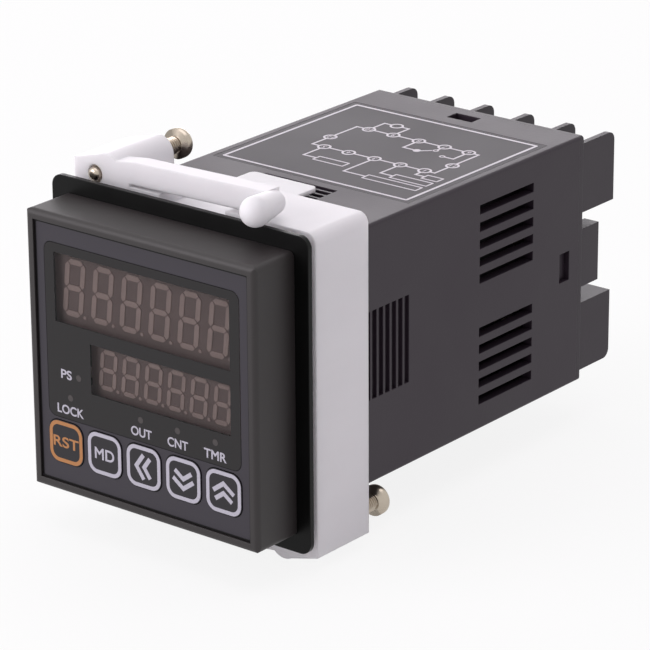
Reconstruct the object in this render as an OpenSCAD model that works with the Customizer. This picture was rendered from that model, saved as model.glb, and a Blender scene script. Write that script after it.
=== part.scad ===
// Panel counter for a 45 mm square cut-out, with the bracket that clamps it to the panel.
// X points right as seen from the front, Y points through the panel to the rear, Z points up.
// The origin is the centre of the cut-out, in the plane of the gasket's rear face.

/* [Front bezel] */
// Thickness of the bezel's side walls
bezel_wall = 1.5; // [1.2:0.1:2.4]
// Depth of the bezel in front of the gasket
bezel_depth = 9.6; // [9.2:0.1:12]
// Corner radius of the bezel seen from the front
bezel_corner = 1; // [0.6:0.1:1.6]
// Radius along the bezel's front edges
bezel_edge = 0.9; // [0.4:0.1:1.1]
// Width of the raised rim round the front sheet
rim_w = 1.6; // [1.2:0.1:2]
// Depth from the rim to the floor that the front sheet lies on
rim_rise = 0.9; // [0.6:0.1:1.2]
// Thickness of the bezel's front wall
face_t = 1.6; // [1.2:0.1:2]
// Radius of the posts that carry the display board
post_r = 1.1; // [0.8:0.1:1.2]

/* [Front sheet and window] */
// Thickness of the printed front sheet
sheet_t = 0.5; // [0.2:0.1:0.6]
// Distance from the sheet's upper edge to the window
window_drop = 3.2; // [2.4:0.1:3.6]
// Distance from the sheet's side edges to the window
window_in = 1.9; // [1.5:0.1:2.4]
// Width of window beside the field of the upper display
window_side = 1.5; // [1.3:0.1:1.9]
// Corner radius of the window
window_corner = 1.5; // [1.4:0.1:2]
// Depth that the window is let into the front wall
window_sink = 0.4; // [0.3:0.1:1]
// Width of the ledge that the window lies on
window_ledge = 0.6; // [0.5:0.05:0.7]
// Height of window above the field of the upper display
display_drop = 1.45; // [1.3:0.05:1.8]
// Height between the fields of the two displays
display_gap = 2.15; // [1.6:0.05:2.6]
// Height from the field of the lower display to the middle of the lamps
lamp_drop = 2; // [1.8:0.1:2.4]
// Height of window below the middle of the lamps, where their names are printed
legend_room = 3.5; // [2.5:0.1:3.8]

/* [Displays and lamps] */
// Digits in each display
digit_count = 6; // [6:1:8]
// Gap between two upper digits
upper_gap = 1.79; // [1.4:0.01:2.2]
// Height of the upper digits, as a share of their width
upper_shape = 2.3; // [2.1:0.01:2.4]
// Width of the upper digits' bars
upper_bar = 0.95; // [0.6:0.05:1.2]
// Width that the lower display is shorter than the upper one
lower_short = 7.4; // [6:0.1:9]
// Gap between two lower digits
lower_gap = 1.2; // [1:0.01:1.5]
// Height of the lower digits, as a share of their width
lower_shape = 1.944; // [1.8:0.002:2.1]
// Width of the lower digits' bars
lower_bar = 0.75; // [0.5:0.05:1]
// Lean of the digits to the right, in degrees
digit_lean = 6; // [0:1:10]
// Thickness of the digit bars on the display's face
bar_t = 0.15; // [0.1:0.05:0.2]
// Gap between the ends of two digit bars
bar_gap = 0.12; // [0.08:0.02:0.2]
// Radius of the decimal points
point_r = 0.3; // [0.2:0.02:0.36]
// Gap between a digit and its decimal point
point_gap = 0.2; // [0.1:0.02:0.26]
// Width of a display's field beside the digits
display_side = 1.02; // [0.8:0.02:1.2]
// Height of the upper display's field above and below its digits
upper_edge = 1.1; // [0.8:0.1:1.3]
// Height of the lower display's field above and below its digits
lower_edge = 0.9; // [0.7:0.1:1.2]
// Width of a display module that the window's mask covers, round the field
display_cover = 0.5; // [0.3:0.05:0.6]
// Radius of an indicator lamp
lamp_r = 0.8; // [0.5:0.1:1]
// Radius of a lamp's front edge
lamp_edge = 0.4; // [0.1:0.1:0.5]
// Place of the first output lamp to the right of the middle
lamp_first = -0.6; // [-2:0.1:0]
// Distance from one output lamp to the next
lamp_pitch = 7.9; // [7:0.1:8]
// Distance of the lock lamp from the window's left edge
lock_lamp_in = 4.7; // [3:0.1:6]
// Distance of the prescale lamp from the lower display's left edge
prescale_lamp_out = 2.3; // [2:0.1:3]
// Distance of the prescale lamp below the lower display's middle
prescale_lamp_drop = 2.1; // [0:0.1:2.8]

/* [Keys] */
// Distance from the sheet's side edges to the outer keys
key_side = 1.8; // [1.4:0.1:2.6]
// Gap between two keys
key_space = 1; // [0.8:0.1:1.4]
// Corner radius of a key
key_corner = 2; // [1.2:0.1:2.4]
// Height between the window and the keys
key_gap = 0.6; // [0.6:0.1:1.2]
// Height of a key above the front sheet
key_rise = 0.15; // [0:0.05:0.3]
// Height of the lip above and below a key that keeps it behind the wall
key_lip = 0.5; // [0.4:0.1:0.7]
// Thickness of that lip
key_lip_t = 0.7; // [0.5:0.1:0.9]
// Radius of the stem behind a key
key_stem_r = 1.5; // [1:0.1:1.8]
// Length of the stem behind a key
key_stem = 0.8; // [0.5:0.1:1]
// Travel of a key
key_travel = 0.35; // [0.2:0.05:0.4]
// Width and height of a switch body
switch_w = 6; // [5:0.1:6.4]
// Height of a switch button above its body
switch_button = 0.4; // [0.2:0.1:0.6]

/* [Gasket] */
// Thickness of the gasket
gasket_t = 0.9; // [0.6:0.1:1.4]
// Width of gasket that shows round the bezel
gasket_lip = 2.8; // [2:0.1:3]
// Outer corner radius of the gasket
gasket_corner = 2; // [1:0.1:3]

/* [Case] */
// Width and height of the case
case_w = 44.8; // [44.4:0.1:46.4]
// Length of the case behind the panel
case_len = 78.4; // [76:0.1:100]
// Wall thickness of the case
case_wall = 1.8; // [1.6:0.1:2]
// Length of case inside the bezel
case_lap = 1.6; // [1:0.1:2]
// Corner radius of the case seen from the rear
case_corner = 0.6; // [0.3:0.1:1]
// Number of ratchet grooves in each side
ratchet_count = 15; // [8:1:18]
// Distance from one ratchet groove to the next
ratchet_pitch = 1.715; // [1.5:0.005:1.8]
// Width of a ratchet groove along the case
ratchet_groove = 1.2; // [0.9:0.05:1.3]
// Length of a ratchet groove across the case
ratchet_w = 15.3; // [12:0.1:18]
// Depth of a ratchet groove
ratchet_depth = 0.8; // [0.5:0.1:1]
// Start of the first ratchet groove behind the panel
ratchet_start = 5.19; // [4:0.01:5.4]
// Vent slots above and below the middle of each flank
vent_count = 5; // [3:1:5]
// Distance from one vent slot to the next
vent_pitch = 3.05; // [2.8:0.05:3.2]
// Height of the first vent slot from the middle of the flank
vent_first = 4.75; // [3:0.05:5]
// Height of a vent slot
vent_h = 1.65; // [1.2:0.05:2]
// Length of a vent slot
vent_len = 15.2; // [10:0.1:16]
// Start of the vent slots, measured forward from the case's rear end
vent_back = 28.7; // [27:0.1:30]
// Width of a latch window
latch_w = 5.3; // [4:0.1:7]
// Length of a latch window along the case
latch_len = 2.9; // [2.4:0.1:3.4]
// Distance from the flanks' latch windows to the case's rear end
flank_latch_back = 2.75; // [2:0.05:4]
// Distance from the top and bottom latch windows to the case's rear end
top_latch_back = 1.8; // [1.4:0.05:4]
// Depth of the latches below the case's outside
latch_sink = 1; // [0.2:0.1:1.2]
// Height of the rails that hold the boards
rail_h = 1.6; // [1.2:0.1:2]
// Thickness of the rails that hold the boards
rail_t = 1; // [0.8:0.1:1.4]

/* [Label] */
// Distance from the label to the case's flanks
label_side = 1.75; // [1.4:0.05:6]
// Length of the label
label_len = 38.5; // [30:0.1:39]
// Distance from the label to the case's rear end
label_back = 7.5; // [6.5:0.1:8.5]
// Thickness of the label
label_t = 0.15; // [0.1:0.05:0.3]

/* [Terminal block] */
// Thickness of the block's flange
flange_t = 1; // [0.8:0.1:2]
// Length of the block's skirt inside the case
skirt_len = 10; // [8:0.1:11]
// Wall thickness of the skirt
skirt_t = 1.3; // [1:0.1:1.6]
// Terminals in each row
terminal_count = 5; // [3:1:5]
// Thickness of the fins between the terminals
fin_t = 1.1; // [0.8:0.05:1.4]
// Reach of the upper fins behind the flange
upper_reach = 9.9; // [8:0.1:14]
// Reach of the lower fins behind the flange
lower_reach = 9.4; // [8:0.1:14]
// Radius of the fins' outer rear corner
fin_corner = 1.6; // [0.5:0.1:3]
// Distance of the outer fins from the case's flank
fin_inset = 0.4; // [0.2:0.1:0.8]
// Distance of the fins' free edge from the case's top or bottom
fin_drop = 1.6; // [0.6:0.1:2]
// Height from a row's terminals to the fins' free edge
row_outer = 6.3; // [6:0.1:6.6]
// Height from a row's terminals to the row's inner edge
row_inner = 6.2; // [5.6:0.1:6.6]
// Thickness of the shelf along each row
shelf_t = 1; // [0.8:0.1:1.4]
// Height of the floor under the terminals, above the flange
floor_t = 1.6; // [1:0.1:2.4]
// Height of the side blocks beside the middle terminals
side_block_h = 10.6; // [8:0.1:12]
// Width of the side blocks
side_block_w = 3; // [2:0.1:3.4]
// Reach of the side blocks behind the flange
side_block_reach = 5.6; // [3:0.1:8]
// Distance of the middle terminals from the rows' ends
middle_in = 7.5; // [7.4:0.1:10]

/* [Terminals] */
// Width and height of a clamp plate
plate_w = 6.6; // [5.6:0.1:7]
// Thickness of a clamp plate
plate_t = 0.8; // [0.6:0.1:1.2]
// Width of the tail that leads from a plate into the case
tail_w = 2; // [1:0.1:2.4]
// Length of the tail in front of the flange
tail_len = 7; // [3:0.1:9]
// Diameter of a terminal screw
terminal_d = 3; // [2.4:0.1:3.4]
// Head diameter of a terminal screw
terminal_head_d = 5.6; // [4.6:0.1:6]
// Head height of a terminal screw
terminal_head_h = 2.2; // [1.6:0.1:2.6]
// Length of a terminal screw under its head
terminal_screw_len = 6; // [5:0.1:8]

/* [Boards] */
// Thickness of the circuit boards
board_t = 1.6; // [1:0.1:2]
// Distance of the two long boards from the middle
board_x = 11; // [9:0.1:13]
// Length of the long boards
board_len = 66; // [60:0.5:67]
// Width of a board header
header_w = 2.5; // [2:0.1:4]
// Length of a board header behind the display board
header_len = 8.5; // [5:0.1:12]
// Height of a board header
header_h = 20; // [10:0.5:26]
// Width of the relay above its board
relay_w = 10; // [8:0.1:10.2]
// Length of the relay
relay_len = 18; // [12:0.1:20]
// Height of the relay
relay_h = 10; // [8:0.1:12]
// Distance from the relay to the boards' rear end
relay_back = 0.6; // [0:0.1:2]
// Width of the transformer above its board
transformer_w = 13; // [10:0.1:16]
// Length of the transformer
transformer_len = 18; // [12:0.1:20]
// Height of the transformer
transformer_h = 18; // [12:0.1:22]
// Height of the transformer's upper and lower limbs
transformer_limb = 3.6; // [2:0.1:4]
// Depth of the winding behind the ends of the limbs
transformer_inset = 2.2; // [1:0.1:3]
// Distance from the transformer to the boards' rear end
transformer_back = 25.8; // [21:0.1:28]
// Radius of a capacitor
capacitor_r = 4; // [3:0.1:4.4]
// Radius of a capacitor's outer edge
capacitor_edge = 0.7; // [0.3:0.1:1]
// Length of a capacitor
capacitor_len = 11; // [6:0.1:14]
// Distance from the last capacitor's middle to the boards' rear end
capacitor_back = 5.8; // [4.5:0.1:7]
// Distance from one capacitor to the next
capacitor_pitch = 10; // [9:0.1:12]
// Height of the capacitors from the middle
capacitor_z = 11; // [10:0.1:13]
// Width of the logic chip
chip_w = 10; // [6:0.1:14]
// Thickness of the logic chip
chip_t = 1.4; // [0.8:0.1:2]
// Distance from the logic chip to the boards' rear end
chip_back = 1.8; // [1:0.1:24]

/* [Mounting bracket] */
// Distance from the gasket to the bracket
panel_room = 2.85; // [2.6:0.05:8]
// Length of the bracket's sleeve
sleeve_len = 13.3; // [10:0.1:18]
// Wall thickness of the sleeve's flanks
sleeve_flank = 2.55; // [2:0.05:3.4]
// Wall thickness of the sleeve's top and bottom
sleeve_top = 3.45; // [3:0.05:4]
// Corner radius of the sleeve
sleeve_corner = 1.8; // [0.6:0.1:2]
// Clearance between the sleeve and the case
sleeve_fit = 0.25; // [0.15:0.05:0.5]
// Width of the pawl tongues
pawl_w = 13.8; // [10:0.1:15]
// Thickness of the pawl tongues
pawl_t = 1.35; // [1.2:0.05:1.8]
// Length of the pawl tongues from the front of the bracket
pawl_len = 23.4; // [20:0.1:27]
// Radius of the pawl tongues' free corners
pawl_corner = 1.1; // [0.8:0.1:2]
// Height of the teeth under the pawl tongues
tooth_h = 0.6; // [0.4:0.05:0.7]
// Width of the teeth under the pawl tongues
tooth_w = 10.2; // [8:0.1:11]
// Teeth under each pawl tongue
tooth_count = 3; // [1:1:4]
// Distance from the teeth to the tongues' free end
tooth_back = 2; // [1.5:0.1:3]
// Distance of the screw axis from the sleeve's flank
boss_in = 4.5; // [4:0.1:5]
// Height of the screw axis above the sleeve
boss_rise = 0.7; // [0.4:0.1:1]
// Width of a boss from the sleeve's flank
boss_w = 9.9; // [9:0.1:11]
// Height of a boss above the sleeve along the flank
boss_low = 2.8; // [2.6:0.1:3.2]
// Height of a boss above the sleeve at its round side
boss_high = 4.6; // [4.2:0.1:5]
// Radius of a boss's round side
boss_round = 3; // [2:0.1:3.4]
// Gap between a spring arm and the sleeve
arm_gap = 0.4; // [0.3:0.1:0.6]
// Rise of the underside of a spring arm from its root to its end
arm_rise = 0.6; // [0.5:0.1:0.8]
// Height of a spring arm above the sleeve at its root
arm_foot_h = 3.5; // [3:0.1:3.8]
// Height of a spring arm above the sleeve at its shoulder
arm_shoulder_h = 4.3; // [4:0.1:4.6]
// Height of a spring arm above the sleeve at its end
arm_end_h = 5; // [5:0.05:5.6]
// Length of the solid root of a spring arm beside the boss
arm_root = 2; // [1:0.1:4]
// Length of a spring arm from the boss to its shoulder
arm_shoulder = 3.4; // [2.4:0.1:8]
// Depth of a spring arm along the case
arm_depth = 3.2; // [2.4:0.1:4]
// Distance of a spring arm's end from the far flank of the sleeve
arm_short = 9.8; // [9:0.1:16]
// Radius of the ball at the end of a spring arm
toe_r = 2.5; // [2.4:0.1:2.8]
// Radius of the finger where it leaves the arm
wrist_r = 2; // [1.8:0.1:2.1]
// Depth of the finger's root below the upper edge of the arm's end
wrist_drop = 2.2; // [2.15:0.05:2.4]
// Distance from the end of an arm to the middle of its ball
toe_out = 2.2; // [2:0.1:5]
// Distance of the upper ball in front of the panel plane
toe_forward = 2.5; // [1:0.1:4]
// Distance of the lower ball behind the panel plane
toe_back = 4.7; // [4.7:0.1:7]
// Clearance of the balls above the gasket and the sleeve
toe_fit = 0.4; // [0.3:0.1:1]

/* [Jack screws] */
// Diameter of the jack screws
jack_d = 3; // [2.6:0.1:3.4]
// Length of a jack screw under its head
jack_len = 20.75; // [18:0.05:24]
// Distance from the gasket to the nose of a jack screw
jack_nose = 2.05; // [2.05:0.05:4]
// Head diameter of a jack screw
jack_head_d = 5.2; // [4.6:0.1:6]
// Head height of a jack screw
jack_head_h = 2; // [1.6:0.1:2.4]

/* [Fits] */
// Clearance of pieces that are laid or pushed into one another
fit = 0.1; // [0.05:0.05:0.2]
// Clearance of a key in its hole
key_fit = 0.12; // [0.08:0.02:0.2]
// Running clearance of a screw in its bore, on the radius
bore_fit = 0.05; // [0.03:0.01:0.08]
// Clearance of a board inside its housing
board_fit = 0.3; // [0.2:0.05:0.4]

/* [Hidden] */
$fn = 48;
// Overshoot of a cut past the face it opens
cut = 1;
// Screw heads: reach, width and depth of the cross recess, and rounding of the nose, as shares
recess_reach = 0.32;
recess_blade = 0.17;
recess_depth = 0.55;
nose_round = 0.6;

// Square outlines, as half widths from the middle
case_half = case_w / 2;
case_in = case_half - case_wall;
bezel_in = case_half + fit;
bezel_half = bezel_in + bezel_wall;
sheet_half = bezel_half - rim_w - fit;
gasket_half = bezel_half + gasket_lip;
skirt_half = case_in - fit;

// Depths along Y, from the front to the rear
bezel_rear = -gasket_t;
bezel_front = bezel_rear - bezel_depth;
sheet_rear = bezel_front + rim_rise;
sheet_front = sheet_rear - sheet_t;
face_rear = sheet_rear + face_t;
window_rear = sheet_rear + window_sink;
case_front = bezel_rear - case_lap;
board_front = case_front - board_t;
display_front = window_rear + board_fit + bar_t;
flange_rear = case_len + flange_t;
floor_rear = flange_rear + floor_t;
plate_rear = floor_rear + plate_t;

// Display fields, stacked down from the window's upper edge
lean = tan(digit_lean);
function digit_width(field, gap, shape) =
    (field - 2 * display_side - (digit_count - 1) * gap) / (digit_count + shape * lean);
window_w = 2 * (sheet_half - window_in);
upper_w = window_w - 2 * window_side;
upper_digit_w = digit_width(upper_w, upper_gap, upper_shape);
upper_digit_h = upper_digit_w * upper_shape;
upper_h = upper_digit_h + 2 * upper_edge;
lower_w = upper_w - lower_short;
lower_digit_w = digit_width(lower_w, lower_gap, lower_shape);
lower_digit_h = lower_digit_w * lower_shape;
lower_h = lower_digit_h + 2 * lower_edge;
window_top = sheet_half - window_drop;
upper_z = window_top - display_drop - upper_h / 2;
lower_z = upper_z - upper_h / 2 - display_gap - lower_h / 2;
lower_x = (upper_w - lower_w) / 2;
lamp_z = lower_z - lower_h / 2 - lamp_drop;
window_bottom = lamp_z - legend_room;
window_h = window_top - window_bottom;
window_z = (window_top + window_bottom) / 2;
key_w = (2 * (sheet_half - key_side) - 4 * key_space) / 5;
key_pitch = key_w + key_space;
key_z = window_bottom - key_gap - key_w / 2;
post_at = bezel_in - board_fit - post_r;
LAMPS = concat(
    [[lower_x - lower_w / 2 - prescale_lamp_out, lower_z - prescale_lamp_drop]],
    [[lock_lamp_in - window_w / 2, lamp_z]],
    [for (i = [0:2]) [lamp_first + i * lamp_pitch, lamp_z]]
);

// Keys, from front to rear
key_front = sheet_front - key_rise;
key_lip_front = face_rear + fit;
key_lip_rear = key_lip_front + key_lip_t;
key_stem_rear = key_lip_rear + key_stem;
button_front = key_stem_rear + key_travel + fit;
switch_front = button_front + switch_button;

// Case features
vent_start = case_len - vent_back;
label_start = case_len - label_back - label_len;
label_w = case_w - 2 * label_side;
label_floor = case_half - label_t;

// Terminals as [x, z, side of the plate that its tail leaves from]
row_half = case_half - fin_inset;
terminal_pitch = 2 * row_half / terminal_count;
middle_terminal_x = row_half - middle_in;
fin_top = case_half - fin_drop;
row_z = fin_top - row_outer;
shelf_z = row_z - row_inner;
row_x = [for (i = [0:terminal_count - 1]) (i - (terminal_count - 1) / 2) * terminal_pitch];
TERMINALS = concat(
    [for (x = row_x, side = [-1, 1]) [x, side * row_z, -side]],
    [for (side = [-1, 1]) [side * middle_terminal_x, 0, 1]]
);
tail_z = plate_w / 2 - plate_t;
terminal_r = terminal_d / 2;
fin_limit = row_half - fin_t / 2;
fin_x = [for (i = [0:terminal_count])
    max(-fin_limit, min(fin_limit, (i - terminal_count / 2) * terminal_pitch))];

// Boards inside the case
long_board_front = case_front + board_fit;
long_board_rear = long_board_front + board_len;
long_board_half = case_in - board_fit;
board_inner = board_x - board_t / 2;
board_outer = board_x + board_t / 2;
relay_start = long_board_rear - relay_back - relay_len;
transformer_start = long_board_rear - transformer_back - transformer_len;
chip_start = long_board_rear - chip_back - chip_w;
capacitor_rear = long_board_rear - capacitor_back;

// Bracket, seen from the front, with the boss of the upper screw at the left
sleeve_in = case_half + sleeve_fit;
sleeve_half_x = sleeve_in + sleeve_flank;
sleeve_half_z = sleeve_in + sleeve_top;
sleeve_rear = panel_room + sleeve_len;
pawl_z = sleeve_in + pawl_t;
pawl_rear = panel_room + pawl_len;
boss_x = boss_in - sleeve_half_x;
boss_z = sleeve_half_z + boss_rise;
boss_foot = sleeve_half_z - sleeve_corner;
boss_side = boss_w - sleeve_half_x;
boss_round_at = [boss_side - boss_round, sleeve_half_z + boss_high - boss_round];
arm_in = sleeve_half_z + arm_gap;
arm_foot = boss_side + arm_root;
arm_end = sleeve_half_x - arm_short;
jack_r = jack_d / 2;
jack_seat = jack_nose + jack_len;

// An outline in X and Z, drawn out along Y
module y_prism(from, to) {
    translate([0, to, 0]) rotate([90, 0, 0]) linear_extrude(to - from) children();
}

// An outline in Y and Z, drawn out along X
module x_prism(from, to) {
    translate([from, 0, 0]) rotate([90, 0, 90]) linear_extrude(to - from) children();
}

// A profile of radius and length, turned about the Y axis: to the rear with 1, to the front with -1
module y_turn(facing = 1) {
    rotate([-90 * facing, 0, 0]) rotate_extrude() children();
}

// A round rod along Y
module y_rod(from, to, r) {
    y_turn() translate([0, from]) square([r, to - from]);
}

// A square bar centred on the Y axis
module y_bar(from, to, half) {
    y_prism(from, to) square(2 * half, center = true);
}

// A block between two opposite corners
module block(low, high) {
    translate(low) cube(high - low);
}

module round_rect(w, h, r) {
    square([w - 2 * r, h], center = true);
    square([w, h - 2 * r], center = true);
    for (x = [-1, 1], z = [-1, 1])
        translate([x * (w / 2 - r), z * (h / 2 - r)]) circle(r);
}

// A rectangle from the origin whose far corner is round
module nosed_rect(w, h, r) {
    square([w - r, h]);
    square([w, h - r]);
    translate([w - r, h - r]) intersection() {
        circle(r);
        square(r);
    }
}

// The half of a disc to the right of the axis
module half_disc(r) {
    intersection() {
        circle(r);
        translate([0, -r]) square([r, 2 * r]);
    }
}

// A finger with round ends that swells from one point to another
module finger(from, to, from_r, to_r) {
    step = to - from;
    reach = norm(step);
    translate(from) rotate([0, acos(step.z / reach), atan2(step.y, step.x)]) rotate_extrude() {
        half_disc(from_r);
        polygon([[0, 0], [from_r, 0], [to_r, reach], [0, reach]]);
        translate([0, reach]) half_disc(to_r);
    }
}

// The same shape on all four sides of the case
module four_sides() {
    for (turn = [0:90:270])
        rotate([0, turn, 0]) children();
}

// The same shape at every key
module at_keys() {
    for (i = [-2:2])
        translate([i * key_pitch, 0, key_z]) children();
}

// The same shape at every terminal, turned so that its tail side is up
module at_terminals() {
    for (t = TERMINALS)
        translate([t[0], 0, t[1]]) rotate([0, t[2] > 0 ? 0 : 180, 0]) children();
}

module window_outline(inset) {
    translate([0, window_z])
        round_rect(window_w - 2 * inset, window_h - 2 * inset, window_corner - inset);
}

module key_outline(grow) {
    round_rect(key_w + 2 * grow, key_w + 2 * grow, key_corner + grow);
}

// The bezel's outline from the side, with the front at the left and its corners round
module bezel_flank() {
    translate([bezel_front + bezel_edge, -bezel_half]) square([bezel_depth - bezel_edge, 2 * bezel_half]);
    translate([bezel_front, bezel_edge - bezel_half]) square([bezel_depth, 2 * (bezel_half - bezel_edge)]);
    for (side = [-1, 1])
        translate([bezel_front + bezel_edge, side * (bezel_half - bezel_edge)]) circle(bezel_edge);
}

// The bezel's outside: its outline from the front, cut to its outline from two sides
module bezel_block() {
    intersection() {
        y_prism(bezel_front, bezel_rear) round_rect(2 * bezel_half, 2 * bezel_half, bezel_corner);
        x_prism(-bezel_half - cut, bezel_half + cut) bezel_flank();
        rotate([0, 90, 0]) x_prism(-bezel_half - cut, bezel_half + cut) bezel_flank();
    }
}

module front_bezel() color("#3a383a") {
    difference() {
        bezel_block();
        y_bar(bezel_front - cut, sheet_rear, sheet_half + fit);
        y_prism(sheet_rear - cut, window_rear) window_outline(-fit);
        y_prism(window_rear - cut, face_rear + cut) window_outline(window_ledge);
        at_keys() y_prism(sheet_rear - cut, face_rear + cut) key_outline(key_fit);
        y_bar(face_rear, bezel_rear + cut, bezel_in);
    }
    for (x = [-1, 1], z = [-1, 1])
        translate([x * post_at, 0, z * post_at]) y_rod(face_rear - face_t / 2, board_front, post_r);
}

module front_sheet() color("#4d4c52") difference() {
    y_bar(sheet_front, sheet_rear, sheet_half);
    y_prism(sheet_front - cut, sheet_rear + cut) window_outline(-fit);
    at_keys() y_prism(sheet_front - cut, sheet_rear + cut) key_outline(key_fit);
}

module display_window() color("#37343a", 0.6) y_prism(sheet_front, window_rear) window_outline(0);

// One key, counted from the left
module key(i) color("#37343a") translate([(i - 2) * key_pitch, 0, key_z]) {
    y_prism(key_front, key_lip_rear) key_outline(0);
    y_prism(key_lip_front, key_lip_rear)
        round_rect(key_w, key_w + 2 * key_lip, key_corner);
    y_rod(key_lip_rear - key_lip_t / 2, key_stem_rear, key_stem_r);
}

module key_reset() key(0);

module key_mode() key(1);

module key_shift() key(2);

module key_down() key(3);

module key_up() key(4);

module tact_switches() color("#2b2b2d") at_keys() {
    y_bar(switch_front, board_front, switch_w / 2);
    y_rod(button_front, board_front, key_stem_r);
}

module display_board() color("#2f6b45") y_bar(board_front, case_front, bezel_in - board_fit);

// A digit bar with pointed ends, lying along X or standing along Z, sheared by the lean
module digit_bar(from, length, width, upright) {
    half = width / 2;
    along = [[0, 0], [half, half], [length - half, half],
        [length, 0], [length - half, -half], [half, -half]];
    placed = [for (p = along) upright ? [from.x - p.y, from.y + p.x] : from + p];
    polygon([for (p = placed) [p.x + p.y * lean, p.y]]);
}

// The seven bars and the point of one digit, from its lower left corner
module digit(w, h, bar) {
    reach = w - bar - 2 * bar_gap;
    rise = (h - bar) / 2 - 2 * bar_gap;
    for (level = [0:2])
        digit_bar([bar / 2 + bar_gap, bar / 2 + level * (h - bar) / 2], reach, bar, false);
    for (level = [0, 1], x = [bar / 2, w - bar / 2])
        digit_bar([x, bar / 2 + bar_gap + level * (h - bar) / 2], rise, bar, true);
    translate([w + point_gap + point_r, point_r]) circle(point_r);
}

// A row of digits in a display's field, counted from the field's left edge
module digit_row(left, middle_z, w, h, gap, bar) {
    for (i = [0:digit_count - 1])
        translate([left + display_side + i * (w + gap), middle_z - h / 2]) digit(w, h, bar);
}

// A display module, which reaches past its field on every side
module display_module(w, h) {
    square([w + 2 * display_cover, h + 2 * display_cover], center = true);
}

module upper_display() color("#5d5350") y_prism(display_front, board_front)
    translate([0, upper_z]) display_module(upper_w, upper_h);

module upper_segments() color("#7a6d66") y_prism(display_front - bar_t, display_front)
    digit_row(-upper_w / 2, upper_z, upper_digit_w, upper_digit_h, upper_gap, upper_bar);

module lower_display() color("#5d5350") y_prism(display_front, board_front)
    translate([lower_x, lower_z]) display_module(lower_w, lower_h);

module lower_segments() color("#7a6d66") y_prism(display_front - bar_t, display_front)
    digit_row(lower_x - lower_w / 2, lower_z, lower_digit_w, lower_digit_h, lower_gap, lower_bar);

module indicator_lamps() color("#6a5f58")
    for (at = LAMPS)
        translate([at.x, board_front, at.y])
            y_turn(-1) nosed_rect(lamp_r, board_front - display_front + bar_t, lamp_edge);

module gasket() color("#1c1b1d") difference() {
    y_prism(-gasket_t, 0) round_rect(2 * gasket_half, 2 * gasket_half, gasket_corner);
    y_bar(-gasket_t - cut, cut, case_half + fit);
}

module ratchet_grooves() {
    for (i = [0:ratchet_count - 1]) {
        start = ratchet_start + i * ratchet_pitch;
        block([-ratchet_w / 2, start, case_half - ratchet_depth],
            [ratchet_w / 2, start + ratchet_groove, case_half + cut]);
    }
}

module vent_slots() {
    for (side = [-1, 1], i = [0:vent_count - 1])
        translate([0, 0, side * (vent_first + i * vent_pitch)])
            block([-case_half - cut, vent_start, -vent_h / 2],
                [case_half + cut, vent_start + vent_len, vent_h / 2]);
}

// A window through two opposite walls, for a latch
module latch_windows(back) {
    block([-latch_w / 2, case_len - back - latch_len, -case_half - cut],
        [latch_w / 2, case_len - back, case_half + cut]);
}

// The rails along the ceiling that hold the edges of the long boards
module board_rails() {
    for (board = [-1, 1], side = [-1, 1]) {
        x = board * board_x + side * (board_t / 2 + fit + rail_t / 2);
        block([x - rail_t / 2, long_board_front + header_len + cut, case_in - rail_h],
            [x + rail_t / 2, case_len - skirt_len - cut, case_in + case_wall / 2]);
    }
}

module case() color("#474247") {
    difference() {
        y_prism(case_front, case_len) round_rect(2 * case_half, 2 * case_half, case_corner);
        y_bar(case_front - cut, case_len + cut, case_in);
        four_sides() ratchet_grooves();
        vent_slots();
        latch_windows(top_latch_back);
        rotate([0, 90, 0]) latch_windows(flank_latch_back);
        block([-label_w / 2 - fit, label_start - fit, label_floor],
            [label_w / 2 + fit, label_start + label_len + fit, case_half + cut]);
    }
    for (turn = [0, 180])
        rotate([0, turn, 0]) board_rails();
}

module top_label() color("#57555b")
    block([-label_w / 2, label_start, label_floor], [label_w / 2, label_start + label_len, case_half]);

// A latch that springs up into its window, with a ramp towards the front
module latch_bump(back) {
    rear = case_len - back - fit;
    front = rear - latch_len + 2 * fit;
    root = skirt_half - skirt_t / 2;
    tip = case_half - latch_sink;
    x_prism(fit - latch_w / 2, latch_w / 2 - fit)
        polygon([[front, root], [(front + rear) / 2, tip], [rear, tip], [rear, root]]);
}

// The fins, shelf and floor of one row, drawn for the upper row
module terminal_row(reach) {
    for (x = fin_x)
        x_prism(x - fin_t / 2, x + fin_t / 2)
            translate([flange_rear - flange_t / 2, shelf_z])
                nosed_rect(reach + flange_t / 2, fin_top - shelf_z, fin_corner);
    block([-row_half, flange_rear - flange_t / 2, shelf_z],
        [row_half, flange_rear + reach, shelf_z + shelf_t]);
    block([-row_half, flange_rear - flange_t / 2, shelf_z],
        [row_half, floor_rear, row_z + plate_w / 2 + 2 * fit]);
}

// The middle terminal's floor and the block beside it, drawn for the right-hand side
module side_terminal() {
    middle_half = plate_w / 2 + 2 * fit;
    block([middle_terminal_x - middle_half, flange_rear - flange_t / 2, -middle_half],
        [middle_terminal_x + middle_half, floor_rear, middle_half]);
    block([row_half - side_block_w, flange_rear - flange_t / 2, -side_block_h / 2],
        [row_half, flange_rear + side_block_reach, side_block_h / 2]);
}

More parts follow.
